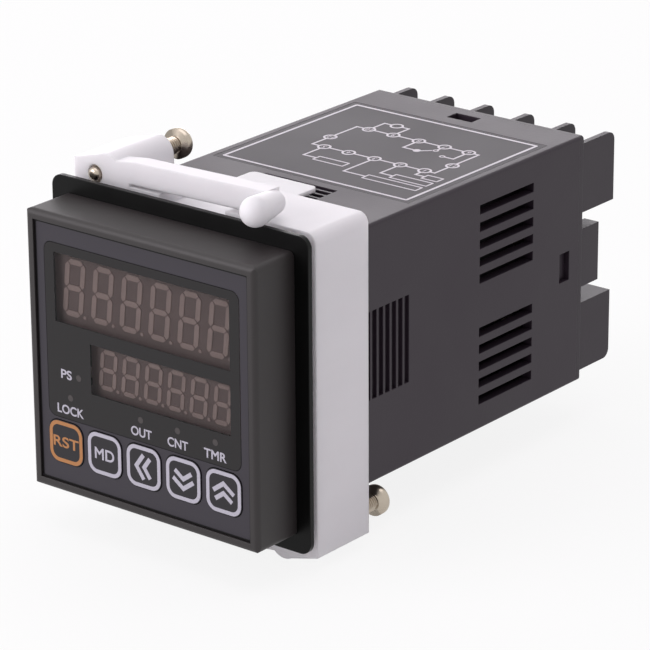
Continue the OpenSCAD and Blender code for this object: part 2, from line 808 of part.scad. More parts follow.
module terminal_block() color("#2d2b2e") difference() {
    union() {
        y_prism(case_len, flange_rear) round_rect(2 * case_half, 2 * case_half, case_corner);
        difference() {
            y_bar(case_len - skirt_len, flange_rear - flange_t / 2, skirt_half);
            y_bar(case_len - skirt_len - cut, case_len, skirt_half - skirt_t);
        }
        for (turn = [0, 180])
            rotate([0, turn, 0]) latch_bump(top_latch_back);
        for (turn = [90, 270])
            rotate([0, turn, 0]) latch_bump(flank_latch_back);
        terminal_row(upper_reach);
        rotate([0, 180, 0]) terminal_row(lower_reach);
        side_terminal();
        rotate([0, 180, 0]) side_terminal();
    }
    at_terminals() {
        y_rod(case_len - cut, floor_rear + cut, terminal_r + bore_fit);
        block([-tail_w / 2 - fit, case_len - cut, tail_z - fit],
            [tail_w / 2 + fit, floor_rear + cut, tail_z + plate_t + fit]);
    }
}

module terminal_plates() color("#b9b2a4") at_terminals() difference() {
    union() {
        y_bar(floor_rear, plate_rear, plate_w / 2);
        block([-tail_w / 2, case_len - tail_len, tail_z], [tail_w / 2, plate_rear, tail_z + plate_t]);
    }
    y_rod(floor_rear - cut, plate_rear + cut, terminal_r + bore_fit);
}

// A cross recess in a screw head whose top is at the given depth
module cross_recess(top, head_d, depth) {
    reach = head_d * recess_reach;
    half_blade = head_d * recess_blade / 2;
    for (turn = [0, 90])
        rotate([0, turn, 0]) block([-reach, top - depth, -half_blade], [reach, top + cut, half_blade]);
}

// A pan head screw along Y with its head at the rear
module pan_screw(seat, length, r, head_d, head_h) {
    difference() {
        union() {
            translate([0, seat, 0]) y_turn() nosed_rect(head_d / 2, head_h, head_h / 2);
            translate([0, seat + head_h / 2, 0])
                y_turn(-1) nosed_rect(r, length + head_h / 2, r * nose_round);
        }
        cross_recess(seat + head_h, head_d, head_h * recess_depth);
    }
}

module terminal_screws() color("#b5a99b") at_terminals()
    pan_screw(plate_rear, terminal_screw_len, terminal_r, terminal_head_d, terminal_head_h);

// A long board that stands on edge along the case
module long_board(side) {
    block([side * board_x - board_t / 2, long_board_front, -long_board_half],
        [side * board_x + board_t / 2, long_board_rear, long_board_half]);
}

module main_board() color("#2f6b45") long_board(1);

module power_board() color("#3b6a4a") long_board(-1);

module board_headers() color("#242424")
    for (side = [-1, 1])
        translate([side * (board_outer + header_w / 2), 0, 0])
            block([-header_w / 2, case_front, -header_h / 2],
                [header_w / 2, case_front + header_len, header_h / 2]);

module logic_chip() color("#222326")
    block([board_outer, chip_start, -chip_w / 2], [board_outer + chip_t, chip_start + chip_w, chip_w / 2]);

module relay() color("#d8d4c8")
    block([board_inner - relay_w, relay_start, -relay_h / 2],
        [board_inner, relay_start + relay_len, relay_h / 2]);

// Core limbs at top and bottom with the wound bobbin between them
module transformer() color("#c7a548") {
    mid = -board_inner + transformer_w / 2;
    difference() {
        block([-board_inner, transformer_start, -transformer_h / 2],
            [transformer_w - board_inner, transformer_start + transformer_len, transformer_h / 2]);
        for (end = [0, 1])
            translate([mid, transformer_start + end * (transformer_len - transformer_inset), 0])
                block([-transformer_w / 2 - cut, end ? 0 : -cut, transformer_limb - transformer_h / 2],
                    [transformer_w / 2 + cut, transformer_inset + (end ? cut : 0),
                        transformer_h / 2 - transformer_limb]);
    }
}

module capacitors() color("#30343c")
    for (i = [0, 1], side = [-1, 1])
        translate([-board_inner, capacitor_rear - i * capacitor_pitch, side * capacitor_z])
            rotate([0, 90, 0]) rotate_extrude() nosed_rect(capacitor_r, capacitor_len, capacitor_edge);

// The sleeve's section: thick walls, lowered between the pawls' edges to their thickness
module sleeve_section() {
    difference() {
        round_rect(2 * sleeve_half_x, 2 * sleeve_half_z, sleeve_corner);
        square(2 * sleeve_in, center = true);
        for (side = [-1, 1])
            translate([0, side * (pawl_z + sleeve_top)]) square([pawl_w, 2 * sleeve_top], center = true);
    }
}

// The pawl tongue that reaches back from the sleeve's top, with saw teeth underneath
module pawl() {
    tooth_floor = sleeve_in + tooth_h;
    difference() {
        block([-pawl_w / 2, sleeve_rear - cut, sleeve_in], [pawl_w / 2, pawl_rear, pawl_z]);
        block([-pawl_w / 2 - cut, sleeve_rear, sleeve_in - cut],
            [pawl_w / 2 + cut, pawl_rear + cut, tooth_floor]);
        for (side = [-1, 1])
            translate([side * (pawl_w / 2 - pawl_corner), pawl_rear - pawl_corner, tooth_floor - cut])
                pawl_corner_cut(side);
    }
    root = (pawl_z - tooth_floor) / 2;
    for (i = [1:tooth_count])
        x_prism(-tooth_w / 2, tooth_w / 2)
            translate([pawl_rear - tooth_back - i * ratchet_pitch, tooth_floor])
                polygon([[0, root], [0, -tooth_h], [ratchet_groove, 0], [ratchet_groove, root]]);
}

// What is cut away outside a tongue's rounded free corner
module pawl_corner_cut(side) {
    linear_extrude(pawl_t + 2 * cut) difference() {
        translate([side > 0 ? 0 : -pawl_corner - cut, 0]) square(pawl_corner + cut);
        circle(pawl_corner);
    }
}

// A spring arm from the boss along the panel, and the finger at its end
module spring_arm(toe) {
    end_top = sleeve_half_z + arm_end_h;
    y_prism(panel_room, panel_room + arm_depth)
        polygon([[boss_round_at.x, boss_foot], [arm_foot, boss_foot], [arm_foot, arm_in],
            [arm_end, arm_in + arm_rise], [arm_end, end_top],
            [boss_side + arm_shoulder, sleeve_half_z + arm_shoulder_h],
            [boss_round_at.x, sleeve_half_z + arm_foot_h]]);
    finger([arm_end, panel_room + arm_depth / 2, end_top - wrist_drop], toe, wrist_r, toe_r);
}

// A boss that rises from the flank to a round side towards the arm
module screw_boss() {
    y_prism(panel_room, sleeve_rear) {
        translate(boss_round_at) circle(boss_round);
        polygon([[-sleeve_half_x, boss_foot], [boss_side, boss_foot], [boss_side, boss_round_at.y],
            [boss_round_at.x, boss_round_at.y], [boss_round_at.x, sleeve_half_z + boss_high],
            [-sleeve_half_x, sleeve_half_z + boss_low]]);
    }
}

// One half of the bracket's working parts, drawn for the upper side
module bracket_half(toe) {
    pawl();
    screw_boss();
    spring_arm(toe);
}

module mounting_bracket() color("#e6e2ea") difference() {
    union() {
        y_prism(panel_room, sleeve_rear) sleeve_section();
        bracket_half([arm_end + toe_out, -toe_forward, gasket_half + toe_fit + toe_r]);
        rotate([0, 180, 0])
            bracket_half([arm_end + toe_out, toe_back, sleeve_half_z + toe_fit + toe_r]);
    }
    y_bar(panel_room - cut, sleeve_rear + cut, sleeve_in);
    for (turn = [0, 180])
        rotate([0, turn, 0]) translate([boss_x, 0, boss_z])
            y_rod(panel_room - cut, sleeve_rear + cut, jack_r + bore_fit);
}

module jack_screw() color("#b5a99b") translate([boss_x, 0, boss_z])
    pan_screw(jack_seat, jack_len, jack_r, jack_head_d, jack_head_h);

module upper_jack_screw() jack_screw();

module lower_jack_screw() rotate([0, 180, 0]) jack_screw();

front_bezel();
front_sheet();
display_window();
key_reset();
key_mode();
key_shift();
key_down();
key_up();
tact_switches();
display_board();
upper_display();
upper_segments();
lower_display();
lower_segments();
indicator_lamps();
gasket();
case();
top_label();
terminal_block();
terminal_plates();
terminal_screws();
main_board();
power_board();
board_headers();
logic_chip();
relay();
transformer();
capacitors();
mounting_bracket();
upper_jack_screw();
lower_jack_screw();
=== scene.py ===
"""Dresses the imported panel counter: its finishes, printed signs and screw threads, on a plain stage."""

import math

import bmesh
import bpy
from bpy.props import FloatProperty, FloatVectorProperty, PointerProperty
from bpy.types import NodeSocket, Operator, Panel, PropertyGroup
from mathutils import Matrix, Vector


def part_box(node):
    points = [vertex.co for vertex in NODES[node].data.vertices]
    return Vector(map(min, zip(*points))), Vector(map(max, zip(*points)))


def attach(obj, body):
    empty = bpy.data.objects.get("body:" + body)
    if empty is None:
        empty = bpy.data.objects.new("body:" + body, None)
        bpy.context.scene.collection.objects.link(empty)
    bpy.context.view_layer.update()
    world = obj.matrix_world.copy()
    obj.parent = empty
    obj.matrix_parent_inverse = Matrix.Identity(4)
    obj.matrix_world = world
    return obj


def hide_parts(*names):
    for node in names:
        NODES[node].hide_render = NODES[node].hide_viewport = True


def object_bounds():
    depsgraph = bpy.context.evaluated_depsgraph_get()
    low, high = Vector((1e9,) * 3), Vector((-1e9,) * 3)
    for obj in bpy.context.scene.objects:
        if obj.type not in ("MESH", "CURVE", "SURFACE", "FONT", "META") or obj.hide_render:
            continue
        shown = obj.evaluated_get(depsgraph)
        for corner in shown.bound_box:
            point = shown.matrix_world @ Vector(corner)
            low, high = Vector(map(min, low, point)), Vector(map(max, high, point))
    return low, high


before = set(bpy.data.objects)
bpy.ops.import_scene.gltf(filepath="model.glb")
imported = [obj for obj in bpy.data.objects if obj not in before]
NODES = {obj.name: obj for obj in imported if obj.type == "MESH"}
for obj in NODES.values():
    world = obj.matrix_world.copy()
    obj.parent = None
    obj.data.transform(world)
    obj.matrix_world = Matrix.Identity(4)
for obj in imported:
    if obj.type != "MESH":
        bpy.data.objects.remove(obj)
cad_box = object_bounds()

bl_info = {
    "name": "Panel counter looks",
    "version": (1, 0, 0),
    "blender": (4, 5, 0),
    "location": "View3D > Sidebar > Counter",
    "description": "Finishes, prints and stage for a square panel counter",
    "category": "Object",
}

MM = 0.001
# Points that are closer than this are one point
WELD = 1e-7
KEYS = ("key_reset", "key_mode", "key_shift", "key_down", "key_up")
STEEL = "Nickel-plated steel"


def linear(code):
    """An sRGB hex colour as linear RGBA."""
    shares = [int(code[i : i + 2], 16) / 255 for i in (1, 3, 5)]
    return (*[c / 12.92 if c <= 0.04045 else ((c + 0.055) / 1.055) ** 2.4 for c in shares], 1.0)


def colour(name, description, code):
    """A colour that a user can change."""
    return FloatVectorProperty(
        name=name, description=description, subtype="COLOR", size=4, min=0, max=1, default=linear(code)
    )


def length(name, description, mm):
    """A length that a user can change, given in millimetres."""
    return FloatProperty(name=name, description=description, unit="LENGTH", precision=5, default=mm * MM)


def angle(name, description, degrees):
    """An angle that a user can change, given in degrees."""
    return FloatProperty(name=name, description=description, unit="ROTATION", default=math.radians(degrees))


def power(name, description, watts):
    """A lamp's power that a user can change, given in watts."""
    return FloatProperty(name=name, description=description, unit="POWER", default=watts)


class CounterColours(PropertyGroup):
    """Colours of the mouldings, films, inks and metals, and of the shade painted round the front sheet."""

    bezel: colour("Bezel", "Black ABS of the bezel", "#1c1617")
    sheet: colour("Front sheet", "Grey print of the front sheet", "#2c2830")
    # Painted shade: a near-black colour for the shadow in the gap between the front sheet and the bezel
    sheet_edge: colour("Painted sheet shade", "Dark colour painted as the shade in the gap round the front sheet", "#070607")
    window: colour("Window", "Smoke tint of the window", "#161517")
    mask: colour("Window mask", "Black print round the displays", "#0c0609")
    key: colour("Keys", "Dark print of the keys", "#130f16")
    ink: colour("White ink", "Signs, rings and legends", "#b4b2bd")
    accent: colour("Accent ink", "Ring and sign of the reset key", "#ac7440")
    lamp_spot: colour("Lamp spots", "Smoky spots over the lamps", "#3a3434")
    display: colour("Display face", "Unlit face of the displays", "#907b77")
    segment: colour("Segments", "Unlit digit bars", "#d4bab2")
    gasket: colour("Gasket", "Black rubber of the gasket", "#030303")
    case: colour("Case", "Dark grey of the case", "#281e28")
    label: colour("Label", "Grey film of the label", "#262027")
    label_ink: colour("Label ink", "White print of the label", "#c2bdc4")
    terminals: colour("Terminal block", "Dark grey of the terminal block", "#271e27")
    bracket: colour("Bracket", "Milky nylon of the bracket", "#edecee")
    steel: colour("Plated steel", "Warm nickel of screws and plates", "#b8ad9f")
    board: colour("Boards", "Green solder mask", "#1f5a37")


class CounterPrint(PropertyGroup):
    """Sizes of what is printed on the front and the label, and of the shade painted round the front sheet.
    """

    ink_rise: length("Ink", "Thickness of a layer of ink", 0.02)
    # Painted shade: the width of the dark frame that stands in for the shadow in the sheet's gap
    sheet_edge: length("Painted sheet shade", "Width of the shade painted in the gap round the front sheet", 0.28)
    ring_width: length("Ring", "Width of the ring round a key", 0.66)
    ring_inset: length("Ring inset", "Distance of the ring from a key's edge", 0.12)
    ring_corner: length("Ring corner", "Outer corner radius of a key's ring", 1.95)
    legend_height: length("Legends", "Capital height of the window's legends", 1.6)
    reset_height: length("Reset sign", "Capital height of the reset key's sign", 1.9)
    mode_height: length("Mode sign", "Capital height of the mode key's sign", 2.0)
    chevron_stroke: length("Chevron stroke", "Width of a chevron along its way", 0.92)
    chevron_step: length("Chevron step", "Distance from one chevron to the next", 1.66)
    chevron_reach: length("Chevron reach", "Length of the front chevron's slope", 1.7)
    chevron_spread: length("Chevron spread", "Half width of the front chevron", 2.35)
    cover_side: length("Side cover", "Width of a display module that the mask covers at each side", 1.0)
    cover_end: length("End cover", "Height of a display module that the mask covers above and below", 0.62)
    mask_corner: length("Mask corner", "Corner radius of the window's mask", 1.5)
    lamp_spot: length("Lamp spot", "Radius of the smoky spot over a lamp", 0.55)
    label_line: length("Label line", "Width of the label's lines", 0.38)
    label_border: length("Label border", "Width of the label's border", 0.5)
    label_side: length("Side margin", "Distance of the border from the label's sides", 1.0)
    label_end: length("End margin", "Distance of the border from the label's ends", 0.9)
    label_corner: length("Border corner", "Corner radius of the label's border", 0.4)
    label_ring: length("Terminal ring", "Outer radius of a terminal's ring on the label", 1.25)
    label_digit: length("Terminal number", "Height of a terminal's number on the label", 1.1)


class CounterThread(PropertyGroup):
    """Sizes of the thread on the jack screws."""

    pitch: length("Pitch", "Distance from one turn to the next", 0.5)
    depth: length("Depth", "Depth of the thread", 0.3)
    run_in: length("Run-in", "Plain length behind the nose", 1.0)
    run_out: length("Run-out", "Plain length under the head", 0.2)
    crest: length("Crest", "Outer radius of the thread", 1.5)
    head: length("Head", "Height of the head above its seat", 2.0)
    collar: length("Collar", "Length of the plain screw that stays under the head", 0.3)


class CounterStage(PropertyGroup):
    """Camera and light."""

    azimuth: angle("Azimuth", "Turn of the camera to the right of the front", 38.884)
    elevation: angle("Elevation", "Height of the camera above the level", 20.496)
    roll: angle("Roll", "Tilt of the camera about its own axis", -0.375)
    distance: length("Distance", "Distance of the camera from its target", 590)
    target: FloatVectorProperty(
        name="Target", description="Point that the camera looks at", unit="LENGTH", precision=5,
        default=(21.34 * MM, 9.89 * MM, 8.15 * MM),
    )
    lens: FloatProperty(name="Lens", description="Focal length in millimetres", default=205.75)
    ambient: FloatProperty(name="Ambient", description="Strength of the even light", default=0.42)
    top_power: power("Top light", "Power of the light above", 2.6)
    front_power: power("Front light", "Power of the light in front", 4.4)
    back_power: power("Back light", "Power of the light low behind", 3.1)
    light: colour("Light", "Tint of the lamps and of the room's light", "#fffaff")
    floor: colour("Floor", "Pale floor", "#f4f4f4")


def add_node(tree, kind, inputs=None, **settings):
    """Adds a shader node with its settings, and gives its sockets a value or a link."""
    node = tree.nodes.new("ShaderNode" + kind)
    for name, value in settings.items():
        setattr(node, name, value)
    for socket, value in (inputs or {}).items():
        if isinstance(value, NodeSocket):
            tree.links.new(value, node.inputs[socket])
        else:
            node.inputs[socket].default_value = value
    return node


def new_material(name):
    """An empty material and its node tree."""
    material = bpy.data.materials.new(name)
    material.use_nodes = True
    material.node_tree.nodes.clear()
    return material, material.node_tree


def new_finish(name):
    """An empty material, its node tree, and the Object coordinates that its patterns follow."""
    material, tree = new_material(name)
    return material, tree, add_node(tree, "TexCoord").outputs["Object"]


def show(tree, shader):
    """Joins a finished shader to the material's output."""
    add_node(tree, "OutputMaterial", {"Surface": shader.outputs[0]})


def scale_of(mm):
    """The texture scale that gives a pattern of this size on Object coordinates in metres."""
    return 1000 / mm


def shaded(base, share):
    """A colour made darker or lighter by a share."""
    return (*[min(1.0, c * share) for c in base[:3]], 1.0)


def shades(base, low, high):
    """The two colours of a Mix node: a colour made darker or lighter by two shares."""
    return {6: shaded(base, low), 7: shaded(base, high)}


def moulded(name, base, grain_mm, relief_mm, roughness, level=0.5):
    """A moulded thermoplastic: a spark-eroded grain, soft edges, and slow drifts of gloss and shade."""
    material, tree, place = new_finish(name)
    grain = add_node(tree, "TexNoise", {"Vector": place, "Scale": scale_of(grain_mm), "Detail": 2.0})
    drift = add_node(tree, "TexNoise", {"Vector": place, "Scale": scale_of(14), "Detail": 3.0})
    tint = add_node(tree, "Mix", {0: drift.outputs["Fac"], **shades(base, 0.9, 1.1)}, data_type="RGBA")
    gloss = add_node(
        tree, "MapRange",
        {"Value": drift.outputs["Fac"], "To Min": roughness - 0.07, "To Max": roughness + 0.07},
    )
    edges = add_node(tree, "Bevel", {"Radius": 0.2 * MM}, samples=4)
    relief = add_node(
        tree, "Bump",
        {
            "Strength": 0.6, "Distance": relief_mm * MM, "Height": grain.outputs["Fac"],
            "Normal": edges.outputs[0],
        },
    )
    shader = add_node(
        tree, "BsdfPrincipled",
        {
            "Base Color": tint.outputs[2], "Roughness": gloss.outputs[0], "Normal": relief.outputs[0],
            "IOR": 1.53, "Specular IOR Level": level,
        },
    )
    show(tree, shader)
    return material


def natural_nylon(name, base):
    """Unfilled nylon straight from the mould: milky, a little see-through at thin edges, satin."""
    material, tree, place = new_finish(name)
    # Flow marks a few millimetres wide, drawn out along the bracket
    flow_place = add_node(tree, "Mapping", {"Vector": place, "Scale": (1.0, 0.35, 1.0)})
    flow = add_node(
        tree, "TexNoise", {"Vector": flow_place.outputs[0], "Scale": scale_of(9), "Detail": 3.0}
    )
    skin = add_node(tree, "TexNoise", {"Vector": place, "Scale": scale_of(0.7), "Detail": 2.0})
    tint = add_node(tree, "Mix", {0: flow.outputs["Fac"], **shades(base, 0.93, 1.04)}, data_type="RGBA")
    gloss = add_node(tree, "MapRange", {"Value": flow.outputs["Fac"], "To Min": 0.46, "To Max": 0.6})
    edges = add_node(tree, "Bevel", {"Radius": 0.4 * MM}, samples=6)
    relief = add_node(
        tree, "Bump",
        {
            "Strength": 0.5, "Distance": 0.02 * MM, "Height": skin.outputs["Fac"],
            "Normal": edges.outputs[0],
        },
    )
    shader = add_node(
        tree, "BsdfPrincipled",
        {
            "Base Color": tint.outputs[2], "Roughness": gloss.outputs[0], "Normal": relief.outputs[0],
            "IOR": 1.53, "Specular IOR Level": 0.14, "Subsurface Weight": 0.7,
            "Subsurface Radius": (1.0, 0.95, 0.95), "Subsurface Scale": 2.2 * MM,
        },
    )
    show(tree, shader)
    return material


def moulded_rubber(name, base):
    """Moulded nitrile rubber: near black, with a soft sheen and a faint bloom."""
    material, tree, place = new_finish(name)
    bloom = add_node(tree, "TexNoise", {"Vector": place, "Scale": scale_of(6), "Detail": 4.0})
    skin = add_node(tree, "TexNoise", {"Vector": place, "Scale": scale_of(0.5), "Detail": 2.0})
    tint = add_node(tree, "Mix", {0: bloom.outputs["Fac"], **shades(base, 0.8, 1.3)}, data_type="RGBA")
    gloss = add_node(tree, "MapRange", {"Value": bloom.outputs["Fac"], "To Min": 0.3, "To Max": 0.48})
    edges = add_node(tree, "Bevel", {"Radius": 0.25 * MM}, samples=4)
    relief = add_node(
        tree, "Bump",
        {
            "Strength": 0.5, "Distance": 0.02 * MM, "Height": skin.outputs["Fac"],
            "Normal": edges.outputs[0],
        },
    )
    shader = add_node(
        tree, "BsdfPrincipled",
        {
            "Base Color": tint.outputs[2], "Roughness": gloss.outputs[0], "Normal": relief.outputs[0],
            "IOR": 1.52, "Specular IOR Level": 0.14,
        },
    )
    show(tree, shader)
    return material


def plated_steel(name, base):
    """Nickel-plated steel: a bright warm metal with turning marks and a slightly uneven bath."""
    material, tree, place = new_finish(name)
    bath = add_node(tree, "TexNoise", {"Vector": place, "Scale": scale_of(2.5), "Detail": 3.0})
    # Turning marks run round the screws, so they are drawn out across Y and fine along it
    lathe_place = add_node(tree, "Mapping", {"Vector": place, "Scale": (0.12, 1.0, 0.12)})
    lathe = add_node(
        tree, "TexNoise", {"Vector": lathe_place.outputs[0], "Scale": scale_of(0.35), "Detail": 2.0}
    )
    tint = add_node(tree, "Mix", {0: bath.outputs["Fac"], **shades(base, 0.88, 1.1)}, data_type="RGBA")
    gloss = add_node(tree, "MapRange", {"Value": bath.outputs["Fac"], "To Min": 0.2, "To Max": 0.38})
    edges = add_node(tree, "Bevel", {"Radius": 0.12 * MM}, samples=4)
    relief = add_node(
        tree, "Bump",
        {
            "Strength": 0.4, "Distance": 0.01 * MM, "Height": lathe.outputs["Fac"],
            "Normal": edges.outputs[0],
        },
    )
    shader = add_node(
        tree, "BsdfPrincipled",
        {
            "Base Color": tint.outputs[2], "Roughness": gloss.outputs[0], "Normal": relief.outputs[0],
            "Metallic": 1.0,
        },
    )
    show(tree, shader)
    return material


def printed_film(name, base, grain_mm, roughness, level=0.5):
    """Polyester film printed on its back: a fine velvet face, even in colour."""
    material, tree, place = new_finish(name)
    # The velvet is about 0.05 mm in life and is drawn coarser so that it shows
    velvet = add_node(tree, "TexNoise", {"Vector": place, "Scale": scale_of(grain_mm), "Detail": 1.0})
    drift = add_node(tree, "TexNoise", {"Vector": place, "Scale": scale_of(18), "Detail": 2.0})
    tint = add_node(tree, "Mix", {0: drift.outputs["Fac"], **shades(base, 0.94, 1.06)}, data_type="RGBA")
    gloss = add_node(
        tree, "MapRange",
        {"Value": drift.outputs["Fac"], "To Min": roughness - 0.05, "To Max": roughness + 0.05},
    )
    relief = add_node(
        tree, "Bump", {"Strength": 0.3, "Distance": 0.01 * MM, "Height": velvet.outputs["Fac"]}
    )
    shader = add_node(
        tree, "BsdfPrincipled",
        {
            "Base Color": tint.outputs[2], "Roughness": gloss.outputs[0], "Normal": relief.outputs[0],
            "IOR": 1.5, "Specular IOR Level": level,
        },
    )
    show(tree, shader)
    return material


def smoked_acrylic(name, base):
    """Smoked acrylic sheet: a glossy face, and a tint that each side of the sheet adds a share of."""
    material, tree, place = new_finish(name)
    wave = add_node(tree, "TexNoise", {"Vector": place, "Scale": scale_of(16), "Detail": 1.0})
    relief = add_node(
        tree, "Bump", {"Strength": 0.1, "Distance": 0.02 * MM, "Height": wave.outputs["Fac"]}
    )
    gloss = add_node(tree, "MapRange", {"Value": wave.outputs["Fac"], "To Min": 0.12, "To Max": 0.2})
    shader = add_node(
        tree, "BsdfPrincipled",
        {
            "Base Color": base, "Roughness": gloss.outputs[0], "Normal": relief.outputs[0], "IOR": 1.49,
            "Alpha": 0.32,
        },
    )
    show(tree, shader)
    return material


def screen_ink(name, base, roughness, level=0.5):
    """Screen-printed ink: a thin opaque coat with a slightly uneven lay."""
    material, tree, place = new_finish(name)
    lay = add_node(tree, "TexNoise", {"Vector": place, "Scale": scale_of(0.6), "Detail": 3.0})
    tint = add_node(tree, "Mix", {0: lay.outputs["Fac"], **shades(base, 0.92, 1.05)}, data_type="RGBA")
    relief = add_node(tree, "Bump", {"Strength": 0.1, "Distance": 0.01 * MM, "Height": lay.outputs["Fac"]})
    shader = add_node(
        tree, "BsdfPrincipled",
        {
            "Base Color": tint.outputs[2], "Roughness": roughness, "Normal": relief.outputs[0],
            "IOR": 1.5, "Specular IOR Level": level,
        },
    )
    show(tree, shader)
    return material


def cast_epoxy(name, base, roughness):
    """Filled casting epoxy of the display modules: even, faintly cloudy."""
    material, tree, place = new_finish(name)
    cloud = add_node(tree, "TexNoise", {"Vector": place, "Scale": scale_of(3), "Detail": 3.0})
    tint = add_node(tree, "Mix", {0: cloud.outputs["Fac"], **shades(base, 0.9, 1.08)}, data_type="RGBA")
    shader = add_node(
        tree, "BsdfPrincipled", {"Base Color": tint.outputs[2], "Roughness": roughness, "IOR": 1.54}
    )
    show(tree, shader)
    return material


def solder_mask(name, base):
    """Glass-epoxy board under green solder mask, with tracks that stand out paler below it."""
    material, tree, place = new_finish(name)
    # Tracks run along the board in lanes 2.5 mm apart, a quarter of the texture's unit
    turned = add_node(tree, "Mapping", {"Vector": place, "Rotation": (0.0, math.pi / 2, 0.0)})
    tracks = add_node(
        tree, "TexBrick",
        {
            "Vector": turned.outputs[0], "Scale": scale_of(10), "Color1": shaded(base, 1.0),
            "Color2": shaded(base, 0.8), "Mortar": shaded(base, 1.7), "Mortar Size": 0.02,
        },
    )
    relief = add_node(
        tree, "Bump", {"Strength": 0.4, "Distance": 0.03 * MM, "Height": tracks.outputs["Fac"]}
    )
    shader = add_node(
        tree, "BsdfPrincipled",
        {"Base Color": tracks.outputs["Color"], "Roughness": 0.32, "Normal": relief.outputs[0], "IOR": 1.5},
    )
    show(tree, shader)
    return material


def wound_tape(name, tape, core, limb_mm):
    """Polyester tape round a bobbin, and ferrite limbs further than limb_mm above or below the middle."""
    material, tree, place = new_finish(name)
    axes = add_node(tree, "SeparateXYZ", {"Vector": place})
    height = add_node(tree, "Math", {0: axes.outputs["Z"]}, operation="ABSOLUTE")
    limb = add_node(tree, "Math", {0: height.outputs[0], 1: limb_mm * MM}, operation="GREATER_THAN")
    laps = add_node(tree, "TexNoise", {"Vector": place, "Scale": scale_of(2), "Detail": 3.0})
    lap_tint = add_node(tree, "Mix", {0: laps.outputs["Fac"], **shades(tape, 0.85, 1.1)}, data_type="RGBA")
    tint = add_node(
        tree, "Mix", {0: limb.outputs[0], 6: lap_tint.outputs[2], 7: core}, data_type="RGBA"
    )
    shader = add_node(
        tree, "BsdfPrincipled", {"Base Color": tint.outputs[2], "Roughness": 0.4, "IOR": 1.5}
    )
    show(tree, shader)
    return material


def dress(material, *names):
    """Gives a finish to CAD nodes."""
    for name in names:
        NODES[name].data.materials.clear()
        NODES[name].data.materials.append(material)


def add_piece(name, bm, material, body):
    """Makes a mesh object of a finished bmesh and sets it on its body."""
    bmesh.ops.recalc_face_normals(bm, faces=bm.faces)
    mesh = bpy.data.meshes.new(name)
    bm.to_mesh(mesh)
    bm.free()
    piece = bpy.data.objects.new(name, mesh)
    bpy.context.scene.collection.objects.link(piece)
    mesh.materials.append(material)
    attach(piece, body)
    return piece


def join(bm, other):
    """Adds a finished bmesh to another one and frees it."""
    mesh = bpy.data.meshes.new("join")
    other.to_mesh(mesh)
    other.free()
    bm.from_mesh(mesh)
    bpy.data.meshes.remove(mesh)


def raise_faces(bm, faces, rise):
    """Draws flat faces up into a closed layer."""
    grown = bmesh.ops.extrude_face_region(bm, geom=faces)["geom"]
    bmesh.ops.translate(bm, vec=(0, 0, rise), verts=[g for g in grown if isinstance(g, bmesh.types.BMVert)])


def raise_band(bm, face, line, rise):
    """Leaves of a flat face only a line along its edge, as a closed layer."""
    band = bmesh.ops.inset_region(
        bm, faces=[face], thickness=line, use_boundary=True, use_even_offset=True
    )["faces"]
    bmesh.ops.delete(bm, geom=[face], context="FACES")
    raise_faces(bm, band, rise)


def round_plate(bm, width, height, corner, centre=(0, 0)):
    """A flat rectangle with round corners, as one face."""
    place = Matrix.Translation((*centre, 0)) @ Matrix.Diagonal((width, height, 1, 1))
    verts = bmesh.ops.create_grid(bm, x_segments=1, y_segments=1, size=0.5, matrix=place)["verts"]
    bevelled = bmesh.ops.bevel(
        bm, geom=verts, offset=corner, offset_type="OFFSET", segments=8, profile=0.5, affect="VERTICES",
        material=-1,
    )
    return max((f for v in bevelled["verts"] for f in v.link_faces), key=lambda f: f.calc_area())


def round_frame(bm, width, height, corner, line, rise, centre=(0, 0)):
    """A closed frame of ink with round corners."""
    raise_band(bm, round_plate(bm, width, height, corner, centre), line, rise)


def disc(bm, centre, radius, segments):
    """A flat round face."""
    place = Matrix.Translation((*centre, 0))
    rim = bmesh.ops.create_circle(bm, cap_ends=True, radius=radius, segments=segments, matrix=place)
    return rim["verts"][0].link_faces[0]


def ring(bm, centre, radius, line, rise):
    """A closed ring of ink."""
    raise_band(bm, disc(bm, centre, radius, 32), line, rise)


def dot(bm, centre, radius, rise):
    """A closed disc of ink."""
    raise_faces(bm, [disc(bm, centre, radius, 24)], rise)


def stroke(bm, start, end, width, rise):
    """A straight line of ink."""
    start, end = Vector((*start, rise / 2)), Vector((*end, rise / 2))
    step = end - start
    turn = Matrix.Rotation(math.atan2(step.y, step.x), 4, "Z")
    size = Matrix.Diagonal((step.length, width, rise, 1))
    bmesh.ops.create_cube(bm, size=1, matrix=Matrix.Translation((start + end) / 2) @ turn @ size)


def chevron(bm, tip, reach, spread, width, rise):
    """One chevron whose tip points left, with ends cut square across its arms."""
    share = width * spread / (reach**2 + spread**2)
    end_x, end_y = reach + share * spread, spread - share * reach
    corners = [(0, 0), (reach, spread), (end_x, end_y), (width, 0), (end_x, -end_y), (reach, -spread)]
    face = bm.faces.new([bm.verts.new((tip + x, y, 0)) for x, y in corners])
    raise_faces(bm, [face], rise)


